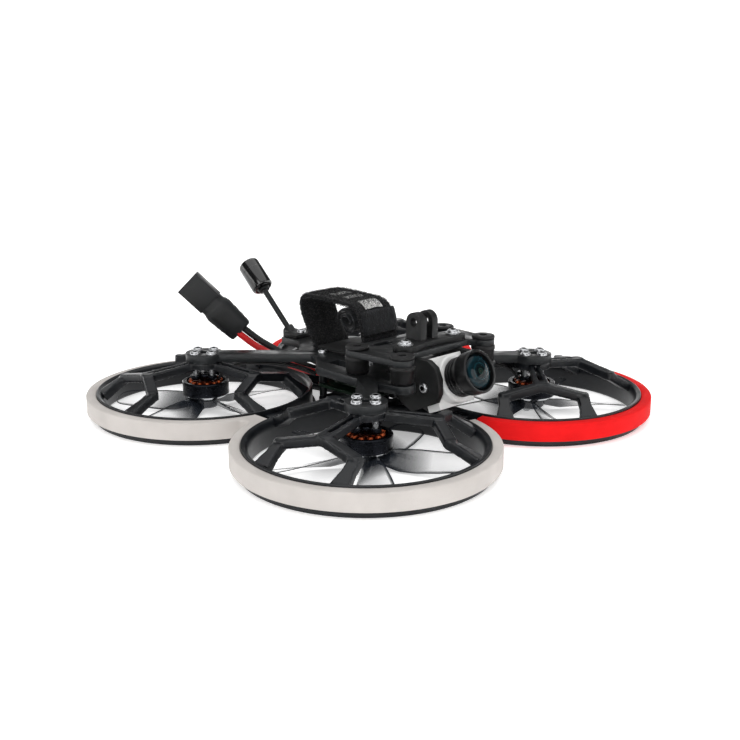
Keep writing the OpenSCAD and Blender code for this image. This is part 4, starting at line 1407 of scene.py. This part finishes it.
def buildStrap():
    smooth = smoothPath([(0, y, z) for y, z in strapLine()], 9, closed=True)
    loop, length = ribbonPiece("strapLoop", smooth, strap["thick"], "webbing", True, seed=1.0)
    fuzz = addFuzz(loop)
    settle(loop, "frame", "webbing_black", "strap")
    settle(fuzz, "frame", "webbing_black")
    print("strap length in mm:", round(length, 1))

    cy, cz = strap["tailCentre"]
    tilt = math.radians(strap["tailTilt"])
    spiral = []
    steps = 90
    for k in range(steps + 1):
        turn = strap["tailTurns"] * k / steps
        a = -0.6 + 2 * math.pi * turn
        y = (strap["tailWide"] - 2.3 * turn * 0.9) * math.cos(a)
        z = (strap["tailHigh"] - 2.2 * turn * 0.9) * math.sin(a)
        leanY = y * math.cos(tilt) - z * math.sin(tilt)
        leanZ = y * math.sin(tilt) + z * math.cos(tilt)
        spiral.append(Vector((0, cy + leanY, cz + leanZ)))
    tail, tailLength = ribbonPiece("strapTail", spiral, 1.5, "darkWebbing", False, seed=4.0, wrinkle=0.1)
    settle(tail, "frame", "webbing_dark", "strap_tail")
    print("rolled end in mm:", round(tailLength, 1))

    pad = [(0, y, z) for y, z in [(-4.95, 42.35), (-5.9, 40.9), (-7.1, 36.7), (-7.78, 33.35)]]
    cover, padLength = ribbonPiece(
        "strapPad", smoothPath(pad, 8), 1.0, "darkWebbing", False, seed=8.0, wrinkle=0.05, width=18.6,
    )
    settle(cover, "frame", "webbing_dark", "strap_keeper")
    print("strap pad in mm:", round(padLength, 1))


buildStrap()
print("strap done")


def buildStudio():
    made, tree, surface, place = newMaterial(
        "paleFloor", "#fbfbfb",
        {
            "Roughness": 0.8, "Specular IOR Level": 0.1, "Emission Color": (1, 1, 1, 1),
            "Emission Strength": studio["floorGlow"],
        },
    )
    drift = addNode(tree, "ShaderNodeTexNoise", {"Scale": 2.0}, {"Vector": place.outputs["Object"]})
    mixColours(tree, surface, drift.outputs[0], "#f9f9f9", "#fdfdfd")
    glow = newMaterial(
        "whiteBackdrop", "#ffffff",
        {"Roughness": 1.0, "Emission Color": (1, 1, 1, 1), "Emission Strength": studio["wallGlow"]},
    )[0]
    count, drop = 96, -0.00005
    rim = [(math.cos(2 * math.pi * k / count), math.sin(2 * math.pi * k / count)) for k in range(count)]
    spots = [
        Vector((x, y, 0)) * studio["floorRadius"] + Vector((0, 0, z))
        for z in (drop, studio["wallHeight"]) for x, y in rim
    ]
    mesh = bpy.data.meshes.new("floor")
    mesh.from_pydata(spots[:count], [], [tuple(range(count))])
    mesh.materials.append(made)
    floor = bpy.data.objects.new("floor", mesh)
    mesh = bpy.data.meshes.new("backdrop")
    mesh.from_pydata(
        spots, [], [(k, k + count, (k + 1) % count + count, (k + 1) % count) for k in range(count)],
    )
    mesh.materials.append(glow)
    backdrop = bpy.data.objects.new("backdrop", mesh)
    for stagePiece in (floor, backdrop):
        scene.collection.objects.link(stagePiece)

    world = bpy.data.worlds.new("studioSky")
    world.use_nodes = True
    world.node_tree.nodes["Background"].inputs[0].default_value = (1, 1, 1, 1)
    world.node_tree.nodes["Background"].inputs[1].default_value = studio["sky"]
    scene.world = world
    for name, spot, aim, size, watts in studio["lamps"]:
        lamp = bpy.data.lights.new(name, "AREA")
        lamp.shape = "DISK"
        lamp.size = size
        lamp.energy = watts
        holder = bpy.data.objects.new(name, lamp)
        holder.location = spot
        holder.rotation_euler = (Vector(aim) - Vector(spot)).to_track_quat("-Z", "Y").to_euler()
        scene.collection.objects.link(holder)


buildStudio()
